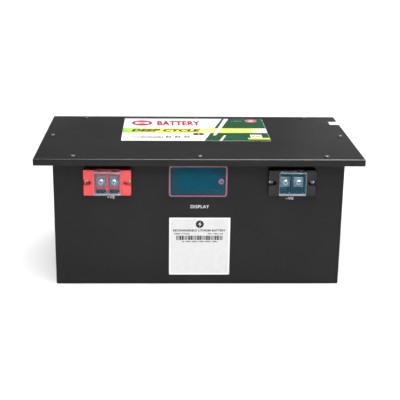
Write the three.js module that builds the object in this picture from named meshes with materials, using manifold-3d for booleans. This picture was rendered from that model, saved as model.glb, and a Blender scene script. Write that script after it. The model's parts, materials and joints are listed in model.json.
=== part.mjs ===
// Deep cycle battery: a lithium pack in a sheet-steel box with a screwed-down overhanging lid,
// two front terminal blocks under clear covers and a panel meter between them.
// Millimetres, +Z up, +X to the right as seen from the front, +Y to the back.
// The origin is under the middle of the lid, at the height of the box's base.
import * as THREE from "three";
import { mergeVertices } from "three/examples/jsm/utils/BufferGeometryUtils.js";
import Module from "manifold-3d";

const wasm = await Module();
wasm.setup();

// ---- Driving dimensions ----------------------------------------------------------------

const SHEET = 1.2; // steel thickness of tub and lid
const GAP = 0.05; // running gap between pieces that rest on each other
const PAST = 1; // how far a cutter runs past the face it cuts

// Box and lid
const BODY_W = 446;
const BODY_D = 234;
const TUB_CORNER_R = 2;
const FLANGE_W = 493;
const FLANGE_D = 281;
const FLANGE_TOP = 210.8;
const LID_W = 498;
const LID_D = 286;
const LID_TOP = 212.1;
const LID_SKIRT = 10.8;
const LID_CORNER_R = 1.5;
const LID_BEND_R = 2;
const LID_HOLE_R = 2.25;
const FLANGE_HOLE_R = 2;
const LID_SCREWS = [
  [-191, -128.8],
  [0, -128.8],
  [192, -128.8],
  [235, 0],
  [192, 128.8],
  [0, 128.8],
  [-191, 128.8],
  [-235, 0],
];

// Front panel, and where things sit on it
const PANEL_Y = -BODY_D / 2;
const POSITIVE_X = -139.5;
const NEGATIVE_X = 141.5;
const TERMINAL_Z = 171;
const METER_X = -1.5;
const METER_Z = 170.5;

// Terminal block, measured out from the panel
const BLOCK_W = 72;
const BLOCK_H = 40;
const BLOCK_OUT = 14;
const BLOCK_CORNER_R = 1.2;
const EAR_IN = 19; // half-width of the window between the ears
const RAIL_LOW = 15; // underside of the top rail above the block's middle
const RAIL_OUT = 8;
const DIVIDER_HALF = 1.7;
const DIVIDER_OUT = 13.5;
const DIVIDER_FOOT = -15.5;
const POCKET_FLOOR = 4.8;
const ENTRY_TOP = -13;
const ENTRY_NEAR = 2.5;
const ENTRY_FAR = 18;
const BOSS_W = 43;
const BOSS_H = 26;
const BOSS_RISE = 4; // boss middle above the block's middle
const BOSS_BACK = -9;
const BOSS_CUTOUT_CLEAR = 1;
const POLE_X = 10; // terminal screws sit this far each side of the block's middle
const SCREW_BORE_R = 2.9;
const SCREW_BORE_END = -6;

// Busbar of a block
const TAB_W = 14.8;
const TAB_LOW = -7.6;
const TAB_HIGH = 7.6;
const TAB_FACE = 6;
const LEG_W = 10;
const LEG_LOW = 4.2;
const LEG_HIGH = 7.2;
const LEG_SLOT_CLEAR = 0.3;
const BRIDGE_HALF_W = 16;
const BRIDGE_LOW = 1;
const BRIDGE_HIGH = 15;
const BRIDGE_FRONT = -12;
const BRIDGE_BACK = -15;
const LUG_BOLT_R = 3.2;
const LUG_BOLT_Z = 8;

// Terminal screw and its square washer
const WASHER_SIDE = 14.5;
const WASHER_T = 1.2;
const WASHER_BACK = TAB_FACE + GAP;
const TERMINAL_HOLE_R = 2.8;
const TERMINAL_SHANK_R = 2.5;
const TERMINAL_HEAD_R = 4.5;
const TERMINAL_HEAD_H = 3.5;
const TERMINAL_HEAD_OUT = WASHER_BACK + WASHER_T + GAP;
const TERMINAL_TIP = -4.8;

// Mounting screws in the ears
const EAR_SCREW_X = 31.5;
const EAR_SEAT = 4;
const EAR_NOTCH_IN = 24;
const EAR_NOTCH_HALF = 3.7;
const EAR_FLARE_X = 33;
const EAR_FLARE_HALF = 6;
const EAR_HEAD_R = 3.3;
const EAR_HEAD_H = 2.4;
const EAR_SHANK_R = 1.6;
const EAR_HOLE_R = 2;
const EAR_TIP = -9;

// Clear cover
const COVER_W = 41;
const COVER_H = 36.5;
const COVER_T = 1.5;
const COVER_FACE = 20;
const COVER_R = 1.5;
const FLANGE_HALF_W = 18.7;
const COVER_FLANGE_Z = 18.1; // outer side of the two flanges
const TOP_FLANGE_BACK = 8.4;
const LOW_FLANGE_BACK = 6.6;
const CABLE_NOTCH_W = 12;
const CABLE_NOTCH_OUT = 14.5;
const TONGUE_X = 10;
const TONGUE_HALF_W = 2;
const TONGUE_BACK = 3.6;
const TONGUE_CLEAR = 0.5;
const TONGUE_SLOT = 3;

// Panel meter
const BEZEL_W = 89.6;
const BEZEL_H = 49.6;
const BEZEL_R = 4.5;
const BEZEL_OUT = 3.2;
const METER_BODY_W = 85;
const METER_BODY_H = 45;
const METER_BACK = -22;
const METER_WALL = 1.5;
const METER_CUTOUT_W = 86.4;
const METER_CUTOUT_H = 46.4;
const WINDOW_W = 84.8;
const WINDOW_H = 44.8;
const WINDOW_SEAT = 1.6;
const WINDOW_FACE = 3;
const LCD_W = 60;
const LCD_LOW = -15;
const LCD_HIGH = 20.5;
const LCD_FACE = 1.2;
const PCB_FACE = -4.8;
const PCB_T = 1.6;
const METER_POST = 5;
const SWITCH_FACE = -3.5;
const BUTTON_X = 35.4;
const BUTTON_R = 4.3;
const BUTTON_FACE = 3.9;
const BUTTON_BACK = -2.6;
const BUTTON_HOLE_R = 4.6;

// Labels
const LABEL_T = 0.15;
const LABEL_OFF = 0.03;

// Cells
const CELL_COUNT = 8;
const CELL_PITCH = 51;
const CELL_X = 50;
const CELL_Y = 160;
const CELL_H = 118;
const PAD_T = 2.95;
const CELL_LOW = SHEET + PAD_T + 2 * GAP;
const CELL_TOP = CELL_LOW + CELL_H;
const CELL_TERMINAL_Y = 57;
const CELL_TERMINAL_R = 8.5;
const CELL_TERMINAL_H = 2;
const LINK_T = 2;
const LINK_D = 18;
const LINK_END = 8;
const LINK_ARCH = 2.2;
const LINK_ARCH_W = 8;
const VENT_R = 7;
const VENT_H = 0.4;
const POLE_TOP = CELL_TOP + CELL_TERMINAL_H;

// Battery management unit and its shelf
const SHELF_Z = 138;
const SHELF_T = 1.5;
const SHELF_HALF_W = 90;
const SHELF_FRONT = 15;
const SHELF_BACK_H = 32;
const GUSSET_D = 60;
const GUSSET_H = 22;
const BMS_HALF_W = 75;
const BMS_FRONT = 22;
const BMS_BACK = 107;
const BMS_H = 18;
const BMS_LOW = SHELF_Z + SHELF_T + GAP;
const BMS_TOP = BMS_LOW + BMS_H;
const GROOVE_REACH = 60; // outermost grooves, each side of the unit's middle
const GROOVE_PITCH = 12;
const GROOVE_W = 6;
const GROOVE_DEPTH = 4;
const GROOVE_MARGIN = 6;
const BMS_PLUG = { x: -40, w: 34, h: 9, z: BMS_LOW + 5, out: 5 };
const POST_Z = BMS_LOW + 7; // top of the two copper posts
const POST_T = 2;
const POST_W = 16;
const POST_REACH = 12;
const BATTERY_POST = { x: BMS_HALF_W, y: 42 };
const LOAD_POST = { x: 58, y: BMS_FRONT };

// Wiring
const CABLE_R = 4;
const LUG_T = 1.6;
const LUG_HALF_W = 8;
const LUG_SEAT = 8.5; // from a post's root to the bolt of the lug on it
const LUG_HEEL = 8; // the flat lug runs from here behind the bolt
const LUG_NECK = 14; // to here in front of it
const LUG_HEAD_R = 5; // bolt head, across its corners
const LUG_HEAD_H = 4;
const BARREL_NEAR = 12; // the crimped barrel runs between these distances from the bolt
const BARREL_FAR = 20;
const BARREL_HALF_W = 4.5;
const BARREL_H = 7.6;
const CABLE_START = 18; // from the bolt to the cable's end inside the barrel
const CABLE_RISE = CABLE_R + 0.6; // cable's middle above the face that the lug lies on
const BRIDGE_BARREL_D = 9;
const BRIDGE_BOLT_R = 2.8;
const BRIDGE_BOLT_PAST = 2.5;
const SENSE_Y = -28;
const SENSE_HALF_D = 3;
const SENSE_LOW = CELL_TOP + 0.6;
const SENSE_HIGH = SENSE_LOW + 2;
const TAP_HALF_W = 1;
const TAP_CLEAR = 0.3;
const SENSE_PLUG_HALF_W = 15;
const SENSE_PLUG_D = 7;
const RISER_R = 2.2;
const METER_WIRE_R = 1.6;

const WALL_IN_X = BODY_W / 2 - SHEET;
const WALL_IN_Y = BODY_D / 2 - SHEET;

// ---- Solid helpers ---------------------------------------------------------------------

function signedVolume(position, index) {
  const a = new THREE.Vector3();
  const b = new THREE.Vector3();
  const c = new THREE.Vector3();
  let sum = 0;
  for (let i = 0; i < index.length; i += 3) {
    a.fromArray(position, 3 * index[i]);
    b.fromArray(position, 3 * index[i + 1]);
    c.fromArray(position, 3 * index[i + 2]);
    sum += a.dot(b.cross(c)) / 6;
  }
  return sum;
}

// A closed three.js geometry as a solid that faces out.
function solid(geometry) {
  const bare = geometry.clone();
  bare.deleteAttribute("normal");
  bare.deleteAttribute("uv");
  const merged = mergeVertices(bare, 1e-4);
  const position = new Float32Array(merged.attributes.position.array);
  const index = [];
  const source = merged.index.array;
  for (let i = 0; i < source.length; i += 3) {
    const [a, b, c] = [source[i], source[i + 1], source[i + 2]];
    if (a !== b && b !== c && c !== a) index.push(a, b, c);
  }
  if (signedVolume(position, index) < 0) index.reverse();
  const mesh = new wasm.Mesh({ numProp: 3, vertProperties: position, triVerts: new Uint32Array(index) });
  return new wasm.Manifold(mesh);
}

function join(first, ...rest) {
  return rest.reduce((whole, piece) => whole.add(piece), first);
}

function cut(body, ...cutters) {
  return cutters.reduce((left, cutter) => left.subtract(cutter), body);
}

function box([x0, x1], [y0, y1], [z0, z1]) {
  const geometry = new THREE.BoxGeometry(x1 - x0, y1 - y0, z1 - z0);
  return solid(geometry.translate((x0 + x1) / 2, (y0 + y1) / 2, (z0 + z1) / 2));
}

function polygon(points) {
  return new THREE.Shape(points.map(([x, y]) => new THREE.Vector2(x, y)));
}

function roundedRect(width, height, radius, cx = 0, cy = 0, steps = 3) {
  const points = [];
  const corners = [
    [1, -1, -90],
    [1, 1, 0],
    [-1, 1, 90],
    [-1, -1, 180],
  ];
  for (const [sx, sy, start] of corners) {
    for (let i = 0; i <= steps; i++) {
      const angle = THREE.MathUtils.degToRad(start + (90 * i) / steps);
      points.push([
        cx + sx * (width / 2 - radius) + radius * Math.cos(angle),
        cy + sy * (height / 2 - radius) + radius * Math.sin(angle),
      ]);
    }
  }
  return polygon(points);
}

function disc(radius, cx = 0, cy = 0, sides = 12) {
  const points = [];
  for (let i = 0; i < sides; i++) {
    const angle = (2 * Math.PI * (i + 0.5)) / sides;
    points.push([cx + radius * Math.cos(angle), cy + radius * Math.sin(angle)]);
  }
  return polygon(points);
}

// A shape drawn in plan, raised between two heights.
function raise(shape, z0, z1) {
  const geometry = new THREE.ExtrudeGeometry(shape, { depth: z1 - z0, bevelEnabled: false });
  return solid(geometry.translate(0, 0, z0));
}

// A shape drawn as seen from the front, standing out towards -Y between two distances.
function standOut(shape, out0, out1) {
  const geometry = new THREE.ExtrudeGeometry(shape, { depth: out1 - out0, bevelEnabled: false });
  return solid(geometry.translate(0, 0, out0).rotateX(Math.PI / 2));
}

// The same for a plain box given by its ranges.
function frontBox(x, z, [out0, out1]) {
  return box(x, [-out1, -out0], z);
}

// A range mirrored to the left or the right side.
function sided(side, a, b) {
  return [side * a, side * b].sort((p, q) => p - q);
}

// A turned piece: radius and height pairs, revolved about the vertical axis.
function turned(profile, sides) {
  const points = profile.map(([radius, height]) => new THREE.Vector2(radius, height));
  return new THREE.LatheGeometry(points, sides);
}

// A round cable along a smooth route.
function cable(route, radius, steps = 16, sides = 8) {
  const path = new THREE.CatmullRomCurve3(route.map(([x, y, z]) => new THREE.Vector3(x, y, z)));
  return solid(new THREE.ExtrudeGeometry(disc(radius, 0, 0, sides), { steps, extrudePath: path }));
}

// ---- Tub and lid -----------------------------------------------------------------------

function caseTub() {
  const shell = join(
    raise(roundedRect(BODY_W, BODY_D, TUB_CORNER_R), 0, FLANGE_TOP),
    raise(roundedRect(FLANGE_W, FLANGE_D, TUB_CORNER_R), FLANGE_TOP - SHEET, FLANGE_TOP),
  );
  const inside = roundedRect(BODY_W - 2 * SHEET, BODY_D - 2 * SHEET, TUB_CORNER_R - SHEET);
  const cutters = [raise(inside, SHEET, FLANGE_TOP + PAST)];
  for (const [x, y] of LID_SCREWS) {
    cutters.push(raise(disc(FLANGE_HOLE_R, x, y), FLANGE_TOP - SHEET - PAST, FLANGE_TOP + PAST));
  }
  const throughPanel = (shape) => standOut(shape, -SHEET - PAST, PAST).translate([0, PANEL_Y, 0]);
  cutters.push(throughPanel(roundedRect(METER_CUTOUT_W, METER_CUTOUT_H, 2, METER_X, METER_Z)));
  const bossSize = [BOSS_W + BOSS_CUTOUT_CLEAR, BOSS_H + BOSS_CUTOUT_CLEAR];
  for (const cx of [POSITIVE_X, NEGATIVE_X]) {
    cutters.push(throughPanel(roundedRect(...bossSize, 1, cx, TERMINAL_Z + BOSS_RISE, 1)));
    for (const side of [-1, 1]) {
      cutters.push(throughPanel(disc(EAR_HOLE_R, cx + side * EAR_SCREW_X, TERMINAL_Z)));
    }
  }
  return cut(shell, ...cutters);
}

// The lid's outside: a slab whose top edge rolls over with the sheet's bend radius.
function lidOutside() {
  const bend = 4;
  const rings = [[0, LID_TOP - LID_SKIRT]];
  for (let i = 0; i <= bend; i++) {
    const angle = (Math.PI / 2) * (i / bend);
    rings.push([
      LID_BEND_R * (1 - Math.cos(angle)),
      LID_TOP - LID_BEND_R * (1 - Math.sin(angle)),
    ]);
  }
  const outlines = rings.map(([inset, z]) => {
    const radius = Math.max(LID_CORNER_R - inset, 0.1);
    const shape = roundedRect(LID_W - 2 * inset, LID_D - 2 * inset, radius, 0, 0, 2);
    return shape.getPoints().map((point) => [point.x, point.y, z]);
  });
  const count = outlines[0].length;
  const index = [];
  for (let ring = 0; ring + 1 < outlines.length; ring++) {
    for (let i = 0; i < count; i++) {
      const a = ring * count + i;
      const b = ring * count + ((i + 1) % count);
      index.push(a, b, a + count, b, b + count, a + count);
    }
  }
  const last = (outlines.length - 1) * count;
  for (let i = 1; i + 1 < count; i++) {
    index.push(0, i + 1, i);
    index.push(last, last + i, last + i + 1);
  }
  const geometry = new THREE.BufferGeometry();
  geometry.setAttribute("position", new THREE.Float32BufferAttribute(outlines.flat(2), 3));
  geometry.setIndex(index);
  return solid(geometry);
}

function lid() {
  const inside = roundedRect(LID_W - 2 * SHEET, LID_D - 2 * SHEET, 0.4, 0, 0, 1);
  const cutters = [raise(inside, LID_TOP - LID_SKIRT - PAST, LID_TOP - SHEET)];
  for (const [x, y] of LID_SCREWS) {
    cutters.push(raise(disc(LID_HOLE_R, x, y), LID_TOP - SHEET - PAST, LID_TOP + PAST));
  }
  return cut(lidOutside(), ...cutters);
}

// ---- Screws ----------------------------------------------------------------------------

// A pan-head cross-recess screw standing on the origin, head up, shank down.
function panScrew({ headR, headH, shankR, length, recess, sides }) {
  const profile = [
    [0, -length],
    [shankR * 0.7, -length],
    [shankR, -length + shankR * 0.6],
    [shankR, 0],
    [headR, 0],
    [headR, headH * 0.45],
    [headR * 0.78, headH * 0.88],
    [0, headH],
  ];
  const body = solid(turned(profile, sides).rotateX(Math.PI / 2));
  const half = recess / 2;
  const slot = recess / 10;
  const depth = [headH * 0.45, headH + PAST];
  return cut(body, box([-half, half], [-slot, slot], depth), box([-slot, slot], [-half, half], depth));
}

function lidScrew() {
  return panScrew({ headR: 4, headH: 2.6, shankR: 1.7, length: 6, recess: 4.4, sides: 12 });
}

function terminalScrew() {
  return panScrew({
    headR: TERMINAL_HEAD_R,
    headH: TERMINAL_HEAD_H,
    shankR: TERMINAL_SHANK_R,
    length: TERMINAL_HEAD_OUT - TERMINAL_TIP,
    recess: 5.6,
    sides: 16,
  });
}

function earScrew() {
  return panScrew({
    headR: EAR_HEAD_R,
    headH: EAR_HEAD_H,
    shankR: EAR_SHANK_R,
    length: EAR_SEAT - EAR_TIP,
    recess: 3.8,
    sides: 12,
  });
}

// ---- Terminal block, about its middle on the panel -------------------------------------

function earNotch(side) {
  const end = BLOCK_W / 2 + PAST;
  const upper = [
    [EAR_NOTCH_IN, 0],
    [EAR_NOTCH_IN + 1, 2.4],
    [EAR_NOTCH_IN + 3, EAR_NOTCH_HALF],
    [EAR_FLARE_X, EAR_NOTCH_HALF],
    [end, EAR_FLARE_HALF],
  ];
  const lower = upper.slice(1).map(([x, z]) => [x, -z]);
  const outline = [...upper, ...lower.reverse()];
  return polygon(outline.map(([x, z]) => [side * x, z]));
}

function terminalHousing() {
  const block = join(
    standOut(roundedRect(BLOCK_W, BLOCK_H, BLOCK_CORNER_R, 0, 0, 2), GAP, BLOCK_OUT),
    standOut(roundedRect(BOSS_W, BOSS_H, 1, 0, BOSS_RISE, 1), BOSS_BACK, 2 * GAP),
  );
  const half = BLOCK_H / 2 + PAST;
  const front = BLOCK_OUT + PAST;
  const cutters = [
    frontBox([-EAR_IN, EAR_IN], [RAIL_LOW, half], [RAIL_OUT, front]),
    frontBox([-DIVIDER_HALF, DIVIDER_HALF], [-half, RAIL_LOW], [DIVIDER_OUT, front]),
    frontBox([-EAR_IN, EAR_IN], [-half, DIVIDER_FOOT], [POCKET_FLOOR, front]),
  ];
  const legHalf = LEG_W / 2 + LEG_SLOT_CLEAR;
  const legSlotZ = [LEG_LOW - LEG_SLOT_CLEAR, LEG_HIGH + LEG_SLOT_CLEAR];
  const tongueHalf = TONGUE_HALF_W + TONGUE_CLEAR;
  const tongueZ = [COVER_FLANGE_Z - COVER_T - GAP * 6, COVER_FLANGE_Z + GAP * 6];
  for (const side of [-1, 1]) {
    cutters.push(
      frontBox(sided(side, DIVIDER_HALF, EAR_IN), [-half, RAIL_LOW], [POCKET_FLOOR, front]),
      frontBox(sided(side, ENTRY_NEAR, ENTRY_FAR), [-half, ENTRY_TOP], [-PAST, front]),
      frontBox(sided(side, POLE_X - legHalf, POLE_X + legHalf), legSlotZ, [BOSS_BACK - PAST, front]),
      frontBox(sided(side, TONGUE_X - tongueHalf, TONGUE_X + tongueHalf), tongueZ, [TONGUE_SLOT, front]),
      standOut(disc(SCREW_BORE_R, side * POLE_X), SCREW_BORE_END, front),
      standOut(disc(EAR_HOLE_R, side * EAR_SCREW_X), -PAST, front),
      standOut(earNotch(side), EAR_SEAT, front),
    );
  }
  return cut(block, ...cutters);
}

// Two clamping tabs and the bridge behind the panel that joins them, bent from one strip.
function terminalBusbar() {
  let bar = frontBox(
    [-BRIDGE_HALF_W, BRIDGE_HALF_W],
    [BRIDGE_LOW, BRIDGE_HIGH],
    [BRIDGE_BACK, BRIDGE_FRONT],
  );
  for (const side of [-1, 1]) {
    const legX = sided(side, POLE_X - LEG_W / 2, POLE_X + LEG_W / 2);
    const tabX = sided(side, POLE_X - TAB_W / 2, POLE_X + TAB_W / 2);
    bar = join(
      bar,
      frontBox(legX, [LEG_LOW, LEG_HIGH], [BRIDGE_BACK + PAST, TAB_FACE - GAP]),
      frontBox(tabX, [TAB_LOW, TAB_HIGH], [POCKET_FLOOR + GAP, TAB_FACE]),
    );
    bar = cut(bar, standOut(disc(TERMINAL_HOLE_R, side * POLE_X), 0, TAB_FACE + PAST));
  }
  return cut(bar, standOut(disc(LUG_BOLT_R, 0, LUG_BOLT_Z), BRIDGE_BACK - PAST, BRIDGE_FRONT + PAST));
}

function terminalWasher() {
  const face = WASHER_BACK + WASHER_T;
  const plate = standOut(roundedRect(WASHER_SIDE, WASHER_SIDE, 1, 0, 0, 1), WASHER_BACK, face);
  return cut(plate, standOut(disc(TERMINAL_HOLE_R, 0, 0, 16), 0, face + PAST));
}

function terminalCover() {
  const plateBack = COVER_FACE - COVER_T;
  const flangeX = [-FLANGE_HALF_W, FLANGE_HALF_W];
  const top = [COVER_FLANGE_Z - COVER_T, COVER_FLANGE_Z];
  const bottom = [-COVER_FLANGE_Z, COVER_T - COVER_FLANGE_Z];
  let cover = join(
    standOut(roundedRect(COVER_W, COVER_H, COVER_R, 0, 0, 2), plateBack, COVER_FACE),
    frontBox(flangeX, top, [TOP_FLANGE_BACK, plateBack + GAP]),
    frontBox(flangeX, bottom, [LOW_FLANGE_BACK, plateBack + GAP]),
  );
  const notchZ = [bottom[0] - PAST, bottom[1] + PAST];
  for (const side of [-1, 1]) {
    const tongueX = sided(side, TONGUE_X - TONGUE_HALF_W, TONGUE_X + TONGUE_HALF_W);
    const notchX = sided(side, POLE_X - CABLE_NOTCH_W / 2, POLE_X + CABLE_NOTCH_W / 2);
    cover = join(cover, frontBox(tongueX, top, [TONGUE_BACK, TOP_FLANGE_BACK + GAP]));
    cover = cut(cover, frontBox(notchX, notchZ, [0, CABLE_NOTCH_OUT]));
  }
  return cover;
}

// ---- Panel meter, about its middle on the panel ----------------------------------------

function meterCase() {
  const cavityW = METER_BODY_W - 2 * METER_WALL;
  const cavityH = METER_BODY_H - 2 * METER_WALL;
  const floor = METER_BACK + METER_WALL;
  const windowSeat = roundedRect(WINDOW_W + 0.4, WINDOW_H + 0.4, 3, 0, 0, 2);
  let body = cut(
    join(
      standOut(roundedRect(BEZEL_W, BEZEL_H, BEZEL_R), GAP, BEZEL_OUT),
      standOut(roundedRect(METER_BODY_W, METER_BODY_H, 2, 0, 0, 2), METER_BACK, 2 * GAP),
    ),
    standOut(windowSeat, WINDOW_SEAT, BEZEL_OUT + PAST),
    standOut(roundedRect(cavityW, cavityH, 1, 0, 0, 1), floor, WINDOW_SEAT + PAST),
    frontBox([-6, 6], [-3, 3], [METER_BACK - PAST, floor + PAST]),
  );
  const postX = [cavityW / 2 - METER_POST, cavityW / 2 + GAP];
  const postZ = [cavityH / 2 - METER_POST, cavityH / 2 + GAP];
  const postOut = [floor - GAP, PCB_FACE - PCB_T - GAP];
  for (const right of [-1, 1]) {
    for (const up of [-1, 1]) {
      body = join(body, frontBox(sided(right, ...postX), sided(up, ...postZ), postOut));
    }
  }
  return body;
}

function meterWindow() {
  return cut(
    standOut(roundedRect(WINDOW_W, WINDOW_H, 2.8, 0, 0, 2), WINDOW_SEAT + GAP, WINDOW_FACE),
    standOut(disc(BUTTON_HOLE_R, BUTTON_X, 0, 16), 0, WINDOW_FACE + PAST),
  );
}

function meterLcd() {
  return frontBox([-LCD_W / 2, LCD_W / 2], [LCD_LOW, LCD_HIGH], [PCB_FACE + GAP, LCD_FACE]);
}

// The board, with the small switch that the button presses.
function meterBoard() {
  const halfW = METER_BODY_W / 2 - METER_WALL - 0.5;
  const halfH = METER_BODY_H / 2 - METER_WALL - 0.5;
  return join(
    frontBox([-halfW, halfW], [-halfH, halfH], [PCB_FACE - PCB_T, PCB_FACE]),
    frontBox([BUTTON_X - 3, BUTTON_X + 3], [-3, 3], [PCB_FACE - GAP, SWITCH_FACE]),
  );
}

// The button, turned about its own axis with its stem's end at height 0.
function meterButton() {
  const height = BUTTON_FACE - BUTTON_BACK;
  const stemR = BUTTON_R * 0.6;
  const dishR = BUTTON_R * 0.45;
  const dish = 0.9;
  const profile = [
    [0, 0],
    [stemR, 0],
    [stemR, 2],
    [BUTTON_R, 2],
    [BUTTON_R, height - 0.5],
    [BUTTON_R - 0.5, height],
    [stemR, height],
    [dishR, height - dish],
    [0, height - dish],
  ];
  return solid(turned(profile, 16).rotateX(Math.PI / 2));
}

// ---- Labels ----------------------------------------------------------------------------

const FRONT_LABEL = { x: 2, z: 63.5, side: 95 };
const TOP_LABEL = { x: -2.25, y: 45.5, w: 240.5, d: 156 };
const SEAL = { x0: 232, y: 93, w: 21, drop: 8 };

function frontLabel() {
  const sheet = roundedRect(FRONT_LABEL.side, FRONT_LABEL.side, 1.2, 0, 0, 2);
  return standOut(sheet, LABEL_OFF, LABEL_OFF + LABEL_T);
}

function topLabel() {
  return raise(roundedRect(TOP_LABEL.w, TOP_LABEL.d, 1.5, 0, 0, 2), LABEL_OFF, LABEL_OFF + LABEL_T);
}

// A seal strip stuck over the lid's right edge and down its skirt.
function sealLabel() {
  const edge = LID_W / 2;
  const bendX = edge - LID_BEND_R;
  const bendZ = LID_TOP - LID_BEND_R;
  // The strip's line at a given distance off the sheet: along the top, round the bend and down.
  const line = (off) => {
    const points = [[SEAL.x0, LID_TOP + off]];
    for (let i = 0; i <= 4; i++) {
      const angle = (Math.PI / 2) * (1 - i / 4);
      const radius = LID_BEND_R + off;
      points.push([bendX + radius * Math.cos(angle), bendZ + radius * Math.sin(angle)]);
    }
    points.push([edge + off, LID_TOP - SEAL.drop]);
    return points;
  };
  const section = polygon([...line(LABEL_OFF + LABEL_T), ...line(LABEL_OFF).reverse()]);
  return standOut(section, -SEAL.w / 2, SEAL.w / 2);
}

// ---- Cells and links -------------------------------------------------------------------

function cellX(index) {
  return CELL_PITCH * (index - (CELL_COUNT - 1) / 2);
}

// One cell with its two poles and its vent, about the middle of its footprint.
function cell() {
  let body = raise(roundedRect(CELL_X, CELL_Y, 3, 0, 0, 2), CELL_LOW, CELL_TOP);
  for (const side of [-1, 1]) {
    const pole = disc(CELL_TERMINAL_R, 0, side * CELL_TERMINAL_Y);
    body = join(body, raise(pole, CELL_TOP - GAP, POLE_TOP));
  }
  return join(body, raise(disc(VENT_R), CELL_TOP - GAP, CELL_TOP + VENT_H));
}

// A welded link, arched between the poles of two cells, about the middle between them.
function cellLink() {
  const end = CELL_PITCH / 2 + LINK_END;
  const half = [
    [LINK_ARCH_W - 3, LINK_ARCH],
    [LINK_ARCH_W, 0],
    [end, 0],
    [end, LINK_T],
    [LINK_ARCH_W + 1, LINK_T],
    [LINK_ARCH_W - 2, LINK_T + LINK_ARCH],
  ];
  const mirrored = half.map(([x, z]) => [-x, z]).reverse();
  return standOut(polygon([...half, ...mirrored]), -LINK_D / 2, LINK_D / 2);
}

// Half-length of the row of cells.
const STACK_HALF = ((CELL_COUNT - 1) * CELL_PITCH + CELL_X) / 2;

function cellBasePad() {
  const half = STACK_HALF;
  return box([-half, half], [-CELL_Y / 2, CELL_Y / 2], [SHEET + GAP, SHEET + GAP + PAD_T]);
}

function endPad(side) {
  const inner = STACK_HALF + GAP;
  return box(sided(side, inner, WALL_IN_X - GAP), [-CELL_Y / 2, CELL_Y / 2], [SHEET + GAP, CELL_TOP - 8]);
}

// ---- Battery management unit -----------------------------------------------------------

function bmsBracket() {
  const back = WALL_IN_Y - GAP;
  const x = [-SHELF_HALF_W, SHELF_HALF_W];
  return join(
    box(x, [SHELF_FRONT, back], [SHELF_Z, SHELF_Z + SHELF_T]),
    box(x, [back - SHELF_T, back], [SHELF_Z, SHELF_Z + SHELF_BACK_H]),
    box([x[0], x[0] + SHELF_T], [back - GUSSET_D, back], [SHELF_Z, SHELF_Z + GUSSET_H]),
    box([x[1] - SHELF_T, x[1]], [back - GUSSET_D, back], [SHELF_Z, SHELF_Z + GUSSET_H]),
  );
}

function bms() {
  const plug = BMS_PLUG;
  const postZ = [POST_Z - POST_T, POST_Z];
  const half = POST_W / 2;
  const battery = BATTERY_POST;
  const load = LOAD_POST;
  const unit = join(
    box([-BMS_HALF_W, BMS_HALF_W], [BMS_FRONT, BMS_BACK], [BMS_LOW, BMS_TOP]),
    box(
      [plug.x - plug.w / 2, plug.x + plug.w / 2],
      [BMS_FRONT - plug.out, BMS_FRONT + PAST],
      [plug.z, plug.z + plug.h],
    ),
    box([battery.x - PAST, battery.x + POST_REACH], [battery.y - half, battery.y + half], postZ),
    box([load.x - half, load.x + half], [load.y - POST_REACH, load.y + PAST], postZ),
  );
  const grooves = [];
  const y = [BMS_FRONT + GROOVE_MARGIN, BMS_BACK - GROOVE_MARGIN];
  for (let x = -GROOVE_REACH; x <= GROOVE_REACH; x += GROOVE_PITCH) {
    grooves.push(box([x - GROOVE_W / 2, x + GROOVE_W / 2], y, [BMS_TOP - GROOVE_DEPTH, BMS_TOP + PAST]));
  }
  return cut(unit, ...grooves);
}

// ---- Wiring ----------------------------------------------------------------------------

// A lug about its bolt's axis, lying on height 0 with its barrel towards -Y.
function flatLug() {
  return join(
    box([-LUG_HALF_W, LUG_HALF_W], [-LUG_NECK, LUG_HEEL], [GAP, GAP + LUG_T]),
    raise(disc(LUG_HEAD_R, 0, 0, 6), LUG_T, LUG_T + LUG_HEAD_H),
    box([-BARREL_HALF_W, BARREL_HALF_W], [-BARREL_FAR, -BARREL_NEAR], [GAP, BARREL_H]),
  );
}

// A flat lug with its bolt at a point and its barrel turned by some degrees.
function levelLug(x, y, z, degrees = 0) {
  return flatLug().rotate([0, 0, degrees]).translate([x, y, z]);
}

// A lug standing against the rear of a block's bridge, with its bolt running through it.
function bridgeLug(cx) {
  const back = BRIDGE_BACK - GAP;
  const z = LUG_BOLT_Z;
  const lug = join(
    frontBox([-LUG_HALF_W, LUG_HALF_W], [z - LUG_NECK, z + LUG_HEEL], [back - LUG_T, back]),
    frontBox(
      [-BARREL_HALF_W, BARREL_HALF_W],
      [z - BARREL_FAR, z - BARREL_NEAR],
      [back - BRIDGE_BARREL_D, back - LUG_T + GAP],
    ),
    standOut(disc(LUG_HEAD_R, 0, z, 6), back - LUG_T - LUG_HEAD_H, back - LUG_T + GAP),
    standOut(disc(BRIDGE_BOLT_R, 0, z), back - GAP, BRIDGE_FRONT + BRIDGE_BOLT_PAST),
  );
  return lug.translate([cx, PANEL_Y, TERMINAL_Z]);
}

// The last two points of a cable that rises into a bridge lug's barrel.
function bridgeEnd(cx, lean, drop) {
  const y = PANEL_Y - BRIDGE_BACK + CABLE_RISE + 0.7;
  const z = TERMINAL_Z + LUG_BOLT_Z - CABLE_START;
  return [
    [cx + lean[0], y + lean[1], z - drop],
    [cx, y, z],
  ];
}

function positiveLead() {
  const x = cellX(0);
  const y = -CELL_TERMINAL_Y;
  const z = POLE_TOP + CABLE_RISE;
  const route = [
    [x, y - CABLE_START, z],
    [x + 2, y - 30, z + 3],
    [x + 18, y - 38, z + 12],
    ...bridgeEnd(POSITIVE_X, [-4, 0], 16),
  ];
  return join(levelLug(x, y, POLE_TOP), cable(route, CABLE_R), bridgeLug(POSITIVE_X));
}

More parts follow.
